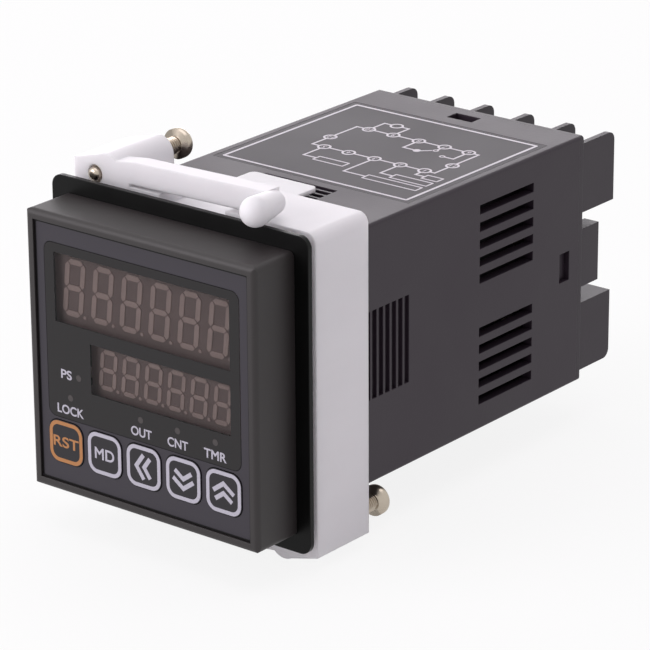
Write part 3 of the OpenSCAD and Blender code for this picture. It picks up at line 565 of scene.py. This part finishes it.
def lettering(bm, words, height, centre, rise, weight=0.0, stretch=1.0):
    """Sans capitals or numbers of a given height, as closed layers of ink."""
    curve = bpy.data.curves.new("lettering", "FONT")
    curve.body = words
    # The layer is one unit thick until its place is applied
    curve.extrude = 0.5
    # A bevel makes the strokes bolder and keeps the outline clean in sharp corners
    curve.bevel_depth = weight
    curve.bevel_resolution = 0
    carrier = bpy.data.objects.new("lettering", curve)
    bpy.context.scene.collection.objects.link(carrier)
    bpy.context.view_layer.update()
    mesh = bpy.data.meshes.new_from_object(carrier)
    low = Vector([min(v.co[i] for v in mesh.vertices) for i in range(3)])
    high = Vector([max(v.co[i] for v in mesh.vertices) for i in range(3)])
    share = height / (high.y - low.y)
    middle = (low + high) / 2
    place = (
        Matrix.Translation((*centre, rise / 2))
        @ Matrix.Diagonal((share * stretch, share, rise, 1))
        @ Matrix.Translation(-middle)
    )
    mesh.transform(place)
    bm.from_mesh(mesh)
    bpy.data.objects.remove(carrier)
    bpy.data.curves.remove(curve)
    bpy.data.meshes.remove(mesh)
    bmesh.ops.remove_doubles(bm, verts=bm.verts, dist=WELD)


def put_on_front(bm, x, y, z):
    """Stands a drawing up on a plane that faces the front."""
    place = Matrix.Translation((x, y, z)) @ Matrix.Rotation(math.pi / 2, 4, "X")
    bmesh.ops.transform(bm, matrix=place, verts=bm.verts)


class COUNTER_OT_dress_front(Operator):
    """Finishes of the bezel, front sheet, window, keys and gasket"""

    bl_idname = "counter.dress_front"
    bl_label = "Dress the front"

    def execute(self, context):
        tints = context.scene.counter_colours
        # ABS from a fine spark-eroded mould: satin, with a soft highlight along its edges
        abs_skin = moulded(
            "Moulded ABS, fine grain", tints.bezel, grain_mm=0.45, relief_mm=0.012, roughness=0.54
        )
        dress(abs_skin, "front_bezel")
        sheet = printed_film("Velvet polyester film", tints.sheet, grain_mm=0.3, roughness=0.5, level=0.4)
        dress(sheet, "front_sheet")
        dress(smoked_acrylic("Smoked acrylic", tints.window), "display_window")
        caps = printed_film("Velvet polyester key film", tints.key, grain_mm=0.3, roughness=0.45, level=0.4)
        dress(caps, *KEYS)
        dress(moulded_rubber("Moulded nitrile rubber", tints.gasket), "gasket")
        return {"FINISHED"}


class COUNTER_OT_dress_displays(Operator):
    """Finishes of the display modules, their segments and the lamps"""

    bl_idname = "counter.dress_displays"
    bl_label = "Dress the displays"

    def execute(self, context):
        tints = context.scene.counter_colours
        face = cast_epoxy("Cast epoxy, display face", tints.display, roughness=0.6)
        dress(face, "upper_display", "lower_display")
        bars = cast_epoxy("Cast epoxy, unlit segments", tints.segment, roughness=0.5)
        dress(bars, "upper_segments", "lower_segments", "indicator_lamps")
        return {"FINISHED"}


class COUNTER_OT_dress_case(Operator):
    """Finishes of the case, label and terminal block"""

    bl_idname = "counter.dress_case"
    bl_label = "Dress the case"

    def execute(self, context):
        tints = context.scene.counter_colours
        # Glass-filled polycarbonate blend: duller than ABS, with a coarser grain
        blend = moulded(
            "Moulded polycarbonate blend", tints.case, grain_mm=0.5, relief_mm=0.02, roughness=0.5,
            level=0.34,
        )
        dress(blend, "case")
        film = printed_film("Printed label film", tints.label, grain_mm=0.35, roughness=0.55, level=0.3)
        dress(film, "top_label")
        # Glass-filled PBT: the coarsest grain, from the fibres under its skin
        block = moulded(
            "Moulded PBT, glass filled", tints.terminals, grain_mm=0.6, relief_mm=0.025, roughness=0.5,
            level=0.36,
        )
        dress(block, "terminal_block")
        return {"FINISHED"}


class COUNTER_OT_dress_bracket(Operator):
    """Finish of the mounting bracket"""

    bl_idname = "counter.dress_bracket"
    bl_label = "Dress the bracket"

    def execute(self, context):
        nylon = natural_nylon("Natural nylon", context.scene.counter_colours.bracket)
        dress(nylon, "mounting_bracket")
        return {"FINISHED"}


class COUNTER_OT_dress_terminals(Operator):
    """Finish of the clamp plates, the terminal screws and the plain jack screws"""

    bl_idname = "counter.dress_terminals"
    bl_label = "Dress the terminals"

    def execute(self, context):
        nickel = plated_steel(STEEL, context.scene.counter_colours.steel)
        dress(nickel, "terminal_plates", "terminal_screws", "upper_jack_screw", "lower_jack_screw")
        return {"FINISHED"}


class COUNTER_OT_dress_inside(Operator):
    """Finishes of the boards and of what stands on them"""

    bl_idname = "counter.dress_inside"
    bl_label = "Dress the inside"

    def execute(self, context):
        tints = context.scene.counter_colours
        dress(solder_mask("Green solder mask", tints.board), "display_board", "main_board", "power_board")
        black = moulded(
            "Moulded black nylon", linear("#222124"), grain_mm=0.4, relief_mm=0.015, roughness=0.45
        )
        dress(black, "tact_switches", "board_headers", "logic_chip")
        cover = moulded(
            "Moulded relay cover", linear("#cfc9b8"), grain_mm=0.5, relief_mm=0.01, roughness=0.4
        )
        dress(cover, "relay")
        tape = wound_tape("Wound polyester tape", linear("#c7a548"), linear("#2d2b2b"), limb_mm=5.4)
        dress(tape, "transformer")
        sleeve = moulded(
            "Shrunk PVC sleeve", linear("#23272f"), grain_mm=0.8, relief_mm=0.01, roughness=0.3
        )
        dress(sleeve, "capacitors")
        return {"FINISHED"}


class COUNTER_OT_print_sheet(Operator):
    """Painted shade round the edge of the front sheet: a dark frame that stands in for the shadow in the
    gap between the sheet and the bezel
    """

    bl_idname = "counter.print_sheet"
    bl_label = "Print the front sheet"

    def execute(self, context):
        sizes = context.scene.counter_print
        low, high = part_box("front_sheet")
        middle = (low + high) / 2
        # A dark frame of ink on the sheet's border is painted shade, for the shadow in the gap between the
        # sheet and the bezel's rim
        edge = bmesh.new()
        corner = 2 * sizes.sheet_edge
        round_frame(edge, high.x - low.x, high.z - low.z, corner, sizes.sheet_edge, sizes.ink_rise)
        put_on_front(edge, middle.x, low.y, middle.z)
        tint = context.scene.counter_colours.sheet_edge
        # This ink is painted shade, not a print that the real sheet has
        ink = screen_ink("Black edge ink", tint, roughness=0.5, level=0.2)
        add_piece("sheet_edge", edge, ink, "counter")
        return {"FINISHED"}


class COUNTER_OT_print_window(Operator):
    """Black mask, lamp spots and legends on the window"""

    bl_idname = "counter.print_window"
    bl_label = "Print the window"

    # Legends as [words, x, z, stretch], with x and z in millimetres from the middle of the front
    LEGENDS = (
        ("PS", -16.36, -3.17, 1.2), ("LOCK", -15.67, -9.31, 1.0), ("OUT", -0.39, -9.31, 0.97),
        ("CNT", 7.3, -9.31, 0.97), ("TMR", 15.12, -9.31, 1.04),
    )
    # Extra weight of the legends' strokes, as a share of the letter's size
    WEIGHT = 0.022
    # Lamp spots as [x, z] in millimetres
    SPOTS = ((-13.7, -3.2), (-15.6, -7.1), (-0.5, -7.2), (7.3, -7.1), (15.15, -7.1))

    def execute(self, context):
        tints = context.scene.counter_colours
        sizes = context.scene.counter_print
        rise = sizes.ink_rise
        low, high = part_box("display_window")
        middle = (low + high) / 2
        mask = bmesh.new()
        round_plate(mask, high.x - low.x, high.z - low.z, sizes.mask_corner)
        self.open_fields(mask, middle, Vector((sizes.cover_side, 0, sizes.cover_end)))
        raise_faces(mask, mask.faces[:], rise)
        put_on_front(mask, middle.x, low.y, middle.z)
        black = screen_ink("Black screen ink", tints.mask, roughness=0.2, level=0.4)
        add_piece("window_mask", mask, black, "counter")
        spots = bmesh.new()
        for x, z in self.SPOTS:
            dot(spots, (x * MM, z * MM), sizes.lamp_spot, rise)
        put_on_front(spots, 0, low.y - rise, 0)
        smoky = screen_ink("Smoky screen ink", tints.lamp_spot, roughness=0.2)
        add_piece("lamp_spots", spots, smoky, "counter")
        legends = bmesh.new()
        for words, x, z, stretch in self.LEGENDS:
            centre = (x * MM, z * MM)
            lettering(legends, words, sizes.legend_height, centre, rise, self.WEIGHT, stretch)
        put_on_front(legends, 0, low.y - rise, 0)
        white = screen_ink("White legend ink", tints.ink, roughness=0.45)
        add_piece("window_legends", legends, white, "counter")
        return {"FINISHED"}

    def open_fields(self, mask, middle, inset):
        """Cuts the mask inside the edges of the two displays and takes the fields out."""
        boxes = [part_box(name) for name in ("upper_display", "lower_display")]
        fields = [(low + inset, high - inset) for low, high in boxes]
        for low, high in fields:
            for axis, level in ((0, low.x), (0, high.x), (2, low.z), (2, high.z)):
                flat = 0 if axis == 0 else 1
                point, normal = Vector(), Vector()
                point[flat] = level - middle[axis]
                normal[flat] = 1
                geom = mask.verts[:] + mask.edges[:] + mask.faces[:]
                bmesh.ops.bisect_plane(mask, geom=geom, dist=WELD, plane_co=point, plane_no=normal)
        inside = []
        for face in mask.faces:
            at = face.calc_center_median()
            x, z = at.x + middle.x, at.y + middle.z
            if any(low.x < x < high.x and low.z < z < high.z for low, high in fields):
                inside.append(face)
        bmesh.ops.delete(mask, geom=inside, context="FACES")


class COUNTER_OT_print_keys(Operator):
    """Ring and sign on each key"""

    bl_idname = "counter.print_keys"
    bl_label = "Print the keys"

    # Words on the first two keys, with their extra weight and their stretch
    WORDS = {"key_reset": ("RST", 0.018, 1.34), "key_mode": ("MD", 0.02, 1.05)}
    # Turn of the other keys' chevrons, which point left when they are drawn
    POINTS = {"key_shift": 0, "key_down": math.pi / 2, "key_up": -math.pi / 2}
    # Size of the rear chevron as a share of the front one
    REAR = 0.83

    def execute(self, context):
        tints = context.scene.counter_colours
        sizes = context.scene.counter_print
        white = screen_ink("White key ink", tints.ink, roughness=0.4)
        accent = screen_ink("Amber key ink", tints.accent, roughness=0.4)
        for name in KEYS:
            low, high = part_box(name)
            middle = (low + high) / 2
            across = high.x - low.x - 2 * sizes.ring_inset
            bm = bmesh.new()
            round_frame(bm, across, across, sizes.ring_corner, sizes.ring_width, sizes.ink_rise)
            if name in self.WORDS:
                height = sizes.reset_height if name == "key_reset" else sizes.mode_height
                words, weight, stretch = self.WORDS[name]
                lettering(bm, words, height, (0, 0), sizes.ink_rise, weight, stretch)
            else:
                self.draw_chevrons(bm, sizes, self.POINTS[name])
            put_on_front(bm, middle.x, low.y, middle.z)
            add_piece(name + "_print", bm, accent if name == "key_reset" else white, name)
        return {"FINISHED"}

    def draw_chevrons(self, bm, sizes, turn):
        """Two chevrons, the rear one smaller, centred, pointing left and then turned."""
        sign = bmesh.new()
        reach, spread, width = sizes.chevron_reach, sizes.chevron_spread, sizes.chevron_stroke
        chevron(sign, 0, reach, spread, width, sizes.ink_rise)
        chevron(sign, sizes.chevron_step, reach * self.REAR, spread * self.REAR, width, sizes.ink_rise)
        across = sizes.chevron_step + reach * self.REAR + width
        place = Matrix.Rotation(turn, 4, "Z") @ Matrix.Translation((-across / 2, 0, 0))
        bmesh.ops.transform(sign, matrix=place, verts=sign.verts)
        join(bm, sign)


class COUNTER_OT_print_label(Operator):
    """Border and terminal diagram on the label"""

    bl_idname = "counter.print_label"
    bl_label = "Print the label"

    # Places in millimetres as the label is read from the rear: right, and up from the label's middle
    COLUMNS = (-12.5, -7.4, -1.9, 3.6, 8.9)
    ROWS = (4.15, -8.15)
    ENDS = ((-14.6, -0.75), (11.5, -0.75))
    # Boxes as [left, right, bottom, top, column that its lead goes to]
    BOXES = (
        (-17.8, -6.4, 11.4, 13.6, 2),
        (-17.8, -9.9, 8.5, 10.7, 1),
        (-17.8, -14.3, 5.6, 7.8, 0),
        (-0.3, 6.3, 8.6, 10.8, 4),
    )
    # Corner radius of a box in millimetres, and its line as a share of the label's line
    BOX_CORNER = 0.2
    BOX_LINE = 0.8
    # Distance of the contact and the source from their row, and of the pivot, in millimetres
    LEVEL = 4.4
    PIVOT = 2.5
    # Radius of a pin and its distance from a terminal in millimetres, and its share of the label's line
    PIN = 0.55
    PIN_OUT = 2.3
    PIN_LINE = 0.7
    # Radius of the contact's bead, its distance from a terminal, and the arm's end at it, in millimetres
    BEAD = 0.7
    BEAD_OUT = 2.9
    ARM_END = (3.5, 0.2)
    # Height of the arm's start over the middle of the pivot's pin, as a share of the pin
    ARM_START = 0.6

    def execute(self, context):
        tints = context.scene.counter_colours
        sizes = context.scene.counter_print
        low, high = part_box("top_label")
        bm = bmesh.new()
        self.draw_print(bm, sizes, high.x - low.x, high.y - low.y)
        middle = (low + high) / 2
        place = Matrix.Translation((middle.x, middle.y, high.z)) @ Matrix.Rotation(math.pi, 4, "Z")
        bmesh.ops.transform(bm, matrix=place, verts=bm.verts)
        white = screen_ink("White label ink", tints.label_ink, roughness=0.45)
        add_piece("label_print", bm, white, "counter")
        return {"FINISHED"}

    def draw_print(self, bm, sizes, width, depth):
        """Border, numbered terminals, their loop, the boxes with their leads, and the contact."""
        rise, line, radius = sizes.ink_rise, sizes.label_line, sizes.label_ring
        inside = (width - 2 * sizes.label_side, depth - 2 * sizes.label_end)
        round_frame(bm, *inside, sizes.label_corner, sizes.label_border, rise)
        places = [(x, z) for z in self.ROWS for x in self.COLUMNS] + list(self.ENDS)
        for number, (x, z) in enumerate(places, 1):
            spot = (x * MM, z * MM)
            ring(bm, spot, radius, line, rise)
            lettering(bm, str(number), sizes.label_digit, spot, rise)
        self.draw_loop(bm, line, radius, rise)
        for left, right, bottom, top, column in self.BOXES:
            centre = ((left + right) / 2 * MM, (bottom + top) / 2 * MM)
            size = ((right - left) * MM, (top - bottom) * MM)
            round_frame(bm, *size, self.BOX_CORNER * MM, line * self.BOX_LINE, rise, centre)
            over = self.COLUMNS[column] * MM
            stroke(bm, (right * MM, centre[1]), (over + line / 2, centre[1]), line, rise)
            stroke(bm, (over, centre[1] - line / 2), (over, self.ROWS[0] * MM + radius), line, rise)
        self.draw_contact(bm, line, radius, rise)

    def draw_loop(self, bm, line, radius, rise):
        """The line that joins all the terminals."""
        upper, lower = [row * MM for row in self.ROWS]
        left, right = [x * MM for x, _ in self.ENDS]
        rims = [x * MM + side * radius for x in self.COLUMNS for side in (-1, 1)]
        stops = [left - line / 2, *rims, right + line / 2]
        for row in (upper, lower):
            for start, end in zip(stops[::2], stops[1::2]):
                stroke(bm, (start, row), (end, row), line, rise)
        for x, z in self.ENDS:
            stroke(bm, (x * MM, upper - line / 2), (x * MM, z * MM + radius), line, rise)
            stroke(bm, (x * MM, z * MM - radius), (x * MM, lower + line / 2), line, rise)

    def draw_contact(self, bm, line, radius, rise):
        """A change-over contact at three terminals of the lower row, and a source at the last two."""
        row = self.ROWS[1] * MM
        first, second, third, fourth, fifth = [x * MM for x in self.COLUMNS]
        level = row + self.LEVEL * MM
        pin, out = self.PIN * MM, self.PIN_OUT * MM
        stroke(bm, (first, row + radius), (first, level + line / 2), line, rise)
        stroke(bm, (first + line / 2, level), (first + out - pin, level), line, rise)
        ring(bm, (first + out, level), pin, line * self.PIN_LINE, rise)
        stroke(bm, (third, row + radius), (third, level + line / 2), line, rise)
        stroke(bm, (third - line / 2, level), (third - out, level), line, rise)
        dot(bm, (third - self.BEAD_OUT * MM, level), self.BEAD * MM, rise)
        pivot = (second, row + self.PIVOT * MM)
        stroke(bm, (second, row + radius), (second, pivot[1] - pin), line, rise)
        ring(bm, pivot, pin, line * self.PIN_LINE, rise)
        arm_end = (third - self.ARM_END[0] * MM, level - self.ARM_END[1] * MM)
        stroke(bm, (second + pin, pivot[1] + pin * self.ARM_START), arm_end, line, rise)
        drop = row - self.LEVEL * MM
        centre = (fourth + fifth) / 2
        for x, inward in ((fourth, 1), (fifth, -1)):
            stroke(bm, (x, row - radius), (x, drop - line / 2), line, rise)
            stroke(bm, (x + inward * line / 2, drop), (centre - inward * radius, drop), line, rise)
        ring(bm, (centre, drop), radius, line, rise)


class COUNTER_OT_thread_screws(Operator):
    """Jack screws with a cut thread, in place of the plain ones"""

    bl_idname = "counter.thread_screws"
    bl_label = "Thread the jack screws"

    # Shares of the pitch that a flank and half a crest take up along the screw
    FLANK = 0.46
    HALF_CREST = 0.08
    # The ridge starts a little under the core's skin, and the nose is rounded by this share of the core
    ROOT = 0.97
    NOSE = 0.6
    # Steps in one turn of the ridge and of the core
    RIDGE_STEPS = 24
    CORE_STEPS = 32

    def execute(self, context):
        sizes = context.scene.counter_thread
        steel = bpy.data.materials.get(STEEL)
        if steel is None:
            raise RuntimeError("dress the terminals before threading the screws")
        for name, body in (("upper_jack_screw", "upper_screw"), ("lower_jack_screw", "lower_screw")):
            bm = bmesh.new()
            self.cut_thread(bm, name, sizes)
            piece = add_piece(name + "_threaded", bm, steel, body)
            for face in piece.data.polygons:
                face.use_smooth = True
            piece.data.set_sharp_from_angle(angle=math.radians(35))
            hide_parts(name)
        return {"FINISHED"}

    def cut_thread(self, bm, name, sizes):
        """Keeps the head of the plain screw and turns a threaded shank under it."""
        low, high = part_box(name)
        middle = (low + high) / 2
        seat = high.y - sizes.head
        core = sizes.crest - sizes.depth
        bm.from_mesh(NODES[name].data)
        bmesh.ops.remove_doubles(bm, verts=bm.verts, dist=WELD)
        geom = bm.verts[:] + bm.edges[:] + bm.faces[:]
        cut = bmesh.ops.bisect_plane(
            bm, geom=geom, dist=WELD, plane_co=(0, seat - sizes.collar, 0), plane_no=(0, 1, 0),
            clear_inner=True,
        )["geom_cut"]
        bmesh.ops.holes_fill(bm, edges=[e for e in cut if isinstance(e, bmesh.types.BMEdge)], sides=0)
        turned = bmesh.new()
        self.turn_core(turned, core, low.y, seat)
        start, end = low.y + sizes.run_in, seat - sizes.run_out
        self.wind_ridge(turned, core, sizes.crest, start, end, sizes.pitch)
        bmesh.ops.translate(turned, vec=(middle.x, 0, middle.z), verts=turned.verts)
        bmesh.ops.recalc_face_normals(turned, faces=turned.faces)
        join(bm, turned)

    def turn_core(self, bm, core, nose, end):
        """The shank under the thread, with its domed nose."""
        dome = core * self.NOSE
        angles = [math.radians(d) for d in (0, 22.5, 45, 67.5, 90)]
        curve = [(core - dome + dome * math.sin(a), nose + dome - dome * math.cos(a)) for a in angles]
        verts = [bm.verts.new((r, y, 0)) for r, y in [(0, nose), *curve, (core, end), (0, end)]]
        edges = [bm.edges.new(pair) for pair in zip(verts, verts[1:])]
        bmesh.ops.spin(
            bm, geom=verts + edges, cent=(0, 0, 0), axis=(0, 1, 0), angle=2 * math.pi,
            steps=self.CORE_STEPS, use_merge=True,
        )
        bmesh.ops.remove_doubles(bm, verts=bm.verts, dist=WELD)

    def wind_ridge(self, bm, core, crest, start, end, pitch):
        """A helical ridge of the thread's section."""
        turns = int((end - start) / pitch) - 1
        root, foot, flat = core * self.ROOT, pitch * self.FLANK, pitch * self.HALF_CREST
        section = [(root, 0), (crest, foot - flat), (crest, foot + flat), (root, 2 * foot)]
        face = bm.faces.new([bm.verts.new((r, start + y, 0)) for r, y in section])
        bmesh.ops.spin(
            bm, geom=[face, *face.verts, *face.edges], cent=(0, 0, 0), axis=(0, 1, 0),
            dvec=(0, pitch / self.RIDGE_STEPS, 0), angle=2 * math.pi * turns,
            steps=self.RIDGE_STEPS * turns,
        )


class COUNTER_OT_set_stage(Operator):
    """Floor, light and camera"""

    bl_idname = "counter.set_stage"
    bl_label = "Set the stage"

    # Soft boxes as place and size in metres. The back one is low behind the object, so that rough top faces
    # glow towards the camera and smooth ones stay dark
    SOFT_BOXES = {
        "top": ((0.0, 0.06, 0.75), (0.8, 0.8)),
        "front": ((-0.45, -0.65, 0.35), (0.6, 0.6)),
        "back": ((-0.59, 0.73, 0.18), (0.9, 0.3)),
    }
    # Point that the soft boxes face, and the floor's radius, in metres
    AIM = (0, 0.03, 0)
    FLOOR_RADIUS = 4
    # Gap that keeps the floor from touching the object, in millimetres
    FLOOR_GAP = 0.05
    # Share of its white that the floor shows the camera whatever falls on it
    FLOOR_GLOW = 0.86

    def execute(self, context):
        scene = context.scene
        stage = scene.counter_stage
        scene.view_settings.view_transform = "Standard"
        self.lay_floor(stage)
        self.light_world(scene, stage)
        for name, (place, size) in self.SOFT_BOXES.items():
            self.hang_light(name + "_light", place, size, getattr(stage, name + "_power"), stage.light)
        self.place_camera(scene, stage)
        return {"FINISHED"}

    def lay_floor(self, stage):
        """A wide pale floor at the object's lowest point, white to the camera but for the shadow."""
        bm = bmesh.new()
        bmesh.ops.create_circle(bm, cap_ends=True, radius=self.FLOOR_RADIUS, segments=64)
        bmesh.ops.translate(bm, vec=(0, 0, cad_box[0][2] - self.FLOOR_GAP * MM), verts=bm.verts)
        mesh = bpy.data.meshes.new("floor")
        bm.to_mesh(mesh)
        bm.free()
        floor = bpy.data.objects.new("floor", mesh)
        bpy.context.scene.collection.objects.link(floor)
        material, tree = new_material("White sweep")
        paper = add_node(tree, "BsdfDiffuse", {"Color": stage.floor})
        glow = add_node(tree, "Emission", {"Color": (1, 1, 1, 1), "Strength": 1.0})
        seen = self.seen_rays(tree)
        share = add_node(tree, "Math", {0: seen, 1: self.FLOOR_GLOW}, operation="MULTIPLY")
        mixed = add_node(
            tree, "MixShader", {0: share.outputs[0], 1: paper.outputs[0], 2: glow.outputs[0]}
        )
        show(tree, mixed)
        mesh.materials.append(material)

    def seen_rays(self, tree):
        """1 for rays that come from the camera, straight, off a gloss or through a clear surface."""
        rays = add_node(tree, "LightPath").outputs
        seen = rays["Is Camera Ray"]
        for kind in ("Is Glossy Ray", "Is Transmission Ray"):
            seen = add_node(tree, "Math", {0: seen, 1: rays[kind]}, operation="MAXIMUM").outputs[0]
        return seen

    def light_world(self, scene, stage):
        """An even white room, whose light is weaker than it looks."""
        scene.world = bpy.data.worlds.new("White room")
        scene.world.use_nodes = True
        tree = scene.world.node_tree
        tree.nodes.clear()
        lit = [stage.ambient * c for c in stage.light[:3]]
        seen = add_node(
            tree, "Mix", {0: self.seen_rays(tree), 6: (*lit, 1), 7: (1, 1, 1, 1)}, data_type="RGBA"
        )
        room = add_node(tree, "Background", {"Color": seen.outputs[2]})
        add_node(tree, "OutputWorld", {"Surface": room.outputs[0]})

    def hang_light(self, name, place, size, watts, tint):
        """A soft box that faces the object."""
        light = bpy.data.lights.new(name, "AREA")
        light.shape = "RECTANGLE"
        light.size, light.size_y = size
        light.energy = watts
        light.color = tint[:3]
        lamp = bpy.data.objects.new(name, light)
        lamp.location = place
        lamp.rotation_euler = (Vector(self.AIM) - Vector(place)).to_track_quat("-Z", "Y").to_euler()
        bpy.context.scene.collection.objects.link(lamp)

    def place_camera(self, scene, stage):
        """The camera at the viewing angle of the reference view."""
        turn, tilt, roll = stage.azimuth, stage.elevation, stage.roll
        back = Vector((math.sin(turn) * math.cos(tilt), -math.cos(turn) * math.cos(tilt), math.sin(tilt)))
        level = Vector((math.cos(turn), math.sin(turn), 0))
        upright = back.cross(level)
        right = level * math.cos(roll) + upright * math.sin(roll)
        up = back.cross(right)
        lens = bpy.data.cameras.new("camera")
        lens.lens = stage.lens
        lens.clip_start, lens.clip_end = 0.01, 20
        camera = bpy.data.objects.new("camera", lens)
        camera.rotation_euler = Matrix((right, up, back)).transposed().to_euler()
        camera.location = Vector(stage.target) + back * stage.distance
        scene.collection.objects.link(camera)
        scene.camera = camera


# In the order in which they run
OPERATORS = (
    COUNTER_OT_dress_front,
    COUNTER_OT_dress_displays,
    COUNTER_OT_dress_case,
    COUNTER_OT_dress_bracket,
    COUNTER_OT_dress_terminals,
    COUNTER_OT_dress_inside,
    COUNTER_OT_print_sheet,
    COUNTER_OT_print_window,
    COUNTER_OT_print_keys,
    COUNTER_OT_print_label,
    COUNTER_OT_thread_screws,
    COUNTER_OT_set_stage,
)
GROUPS = {
    "counter_colours": CounterColours,
    "counter_print": CounterPrint,
    "counter_thread": CounterThread,
    "counter_stage": CounterStage,
}


class COUNTER_PT_looks(Panel):
    """Lists the steps that dress the counter"""

    bl_label = "Panel counter"
    bl_space_type = "VIEW_3D"
    bl_region_type = "UI"
    bl_category = "Counter"

    def draw(self, context):
        for operator in OPERATORS:
            self.layout.operator(operator.bl_idname)
        for name, group in GROUPS.items():
            box = self.layout.box()
            for prop in group.__annotations__:
                box.prop(getattr(context.scene, name), prop)


CLASSES = (*GROUPS.values(), *OPERATORS, COUNTER_PT_looks)


def register():
    for cls in CLASSES:
        bpy.utils.register_class(cls)
    for name, group in GROUPS.items():
        setattr(bpy.types.Scene, name, PointerProperty(type=group))


def unregister():
    for name in GROUPS:
        delattr(bpy.types.Scene, name)
    for cls in reversed(CLASSES):
        bpy.utils.unregister_class(cls)


def main():
    register()
    for operator in OPERATORS:
        getattr(bpy.ops.counter, operator.bl_idname.split(".")[1])()


if __name__ == "__main__":
    main()
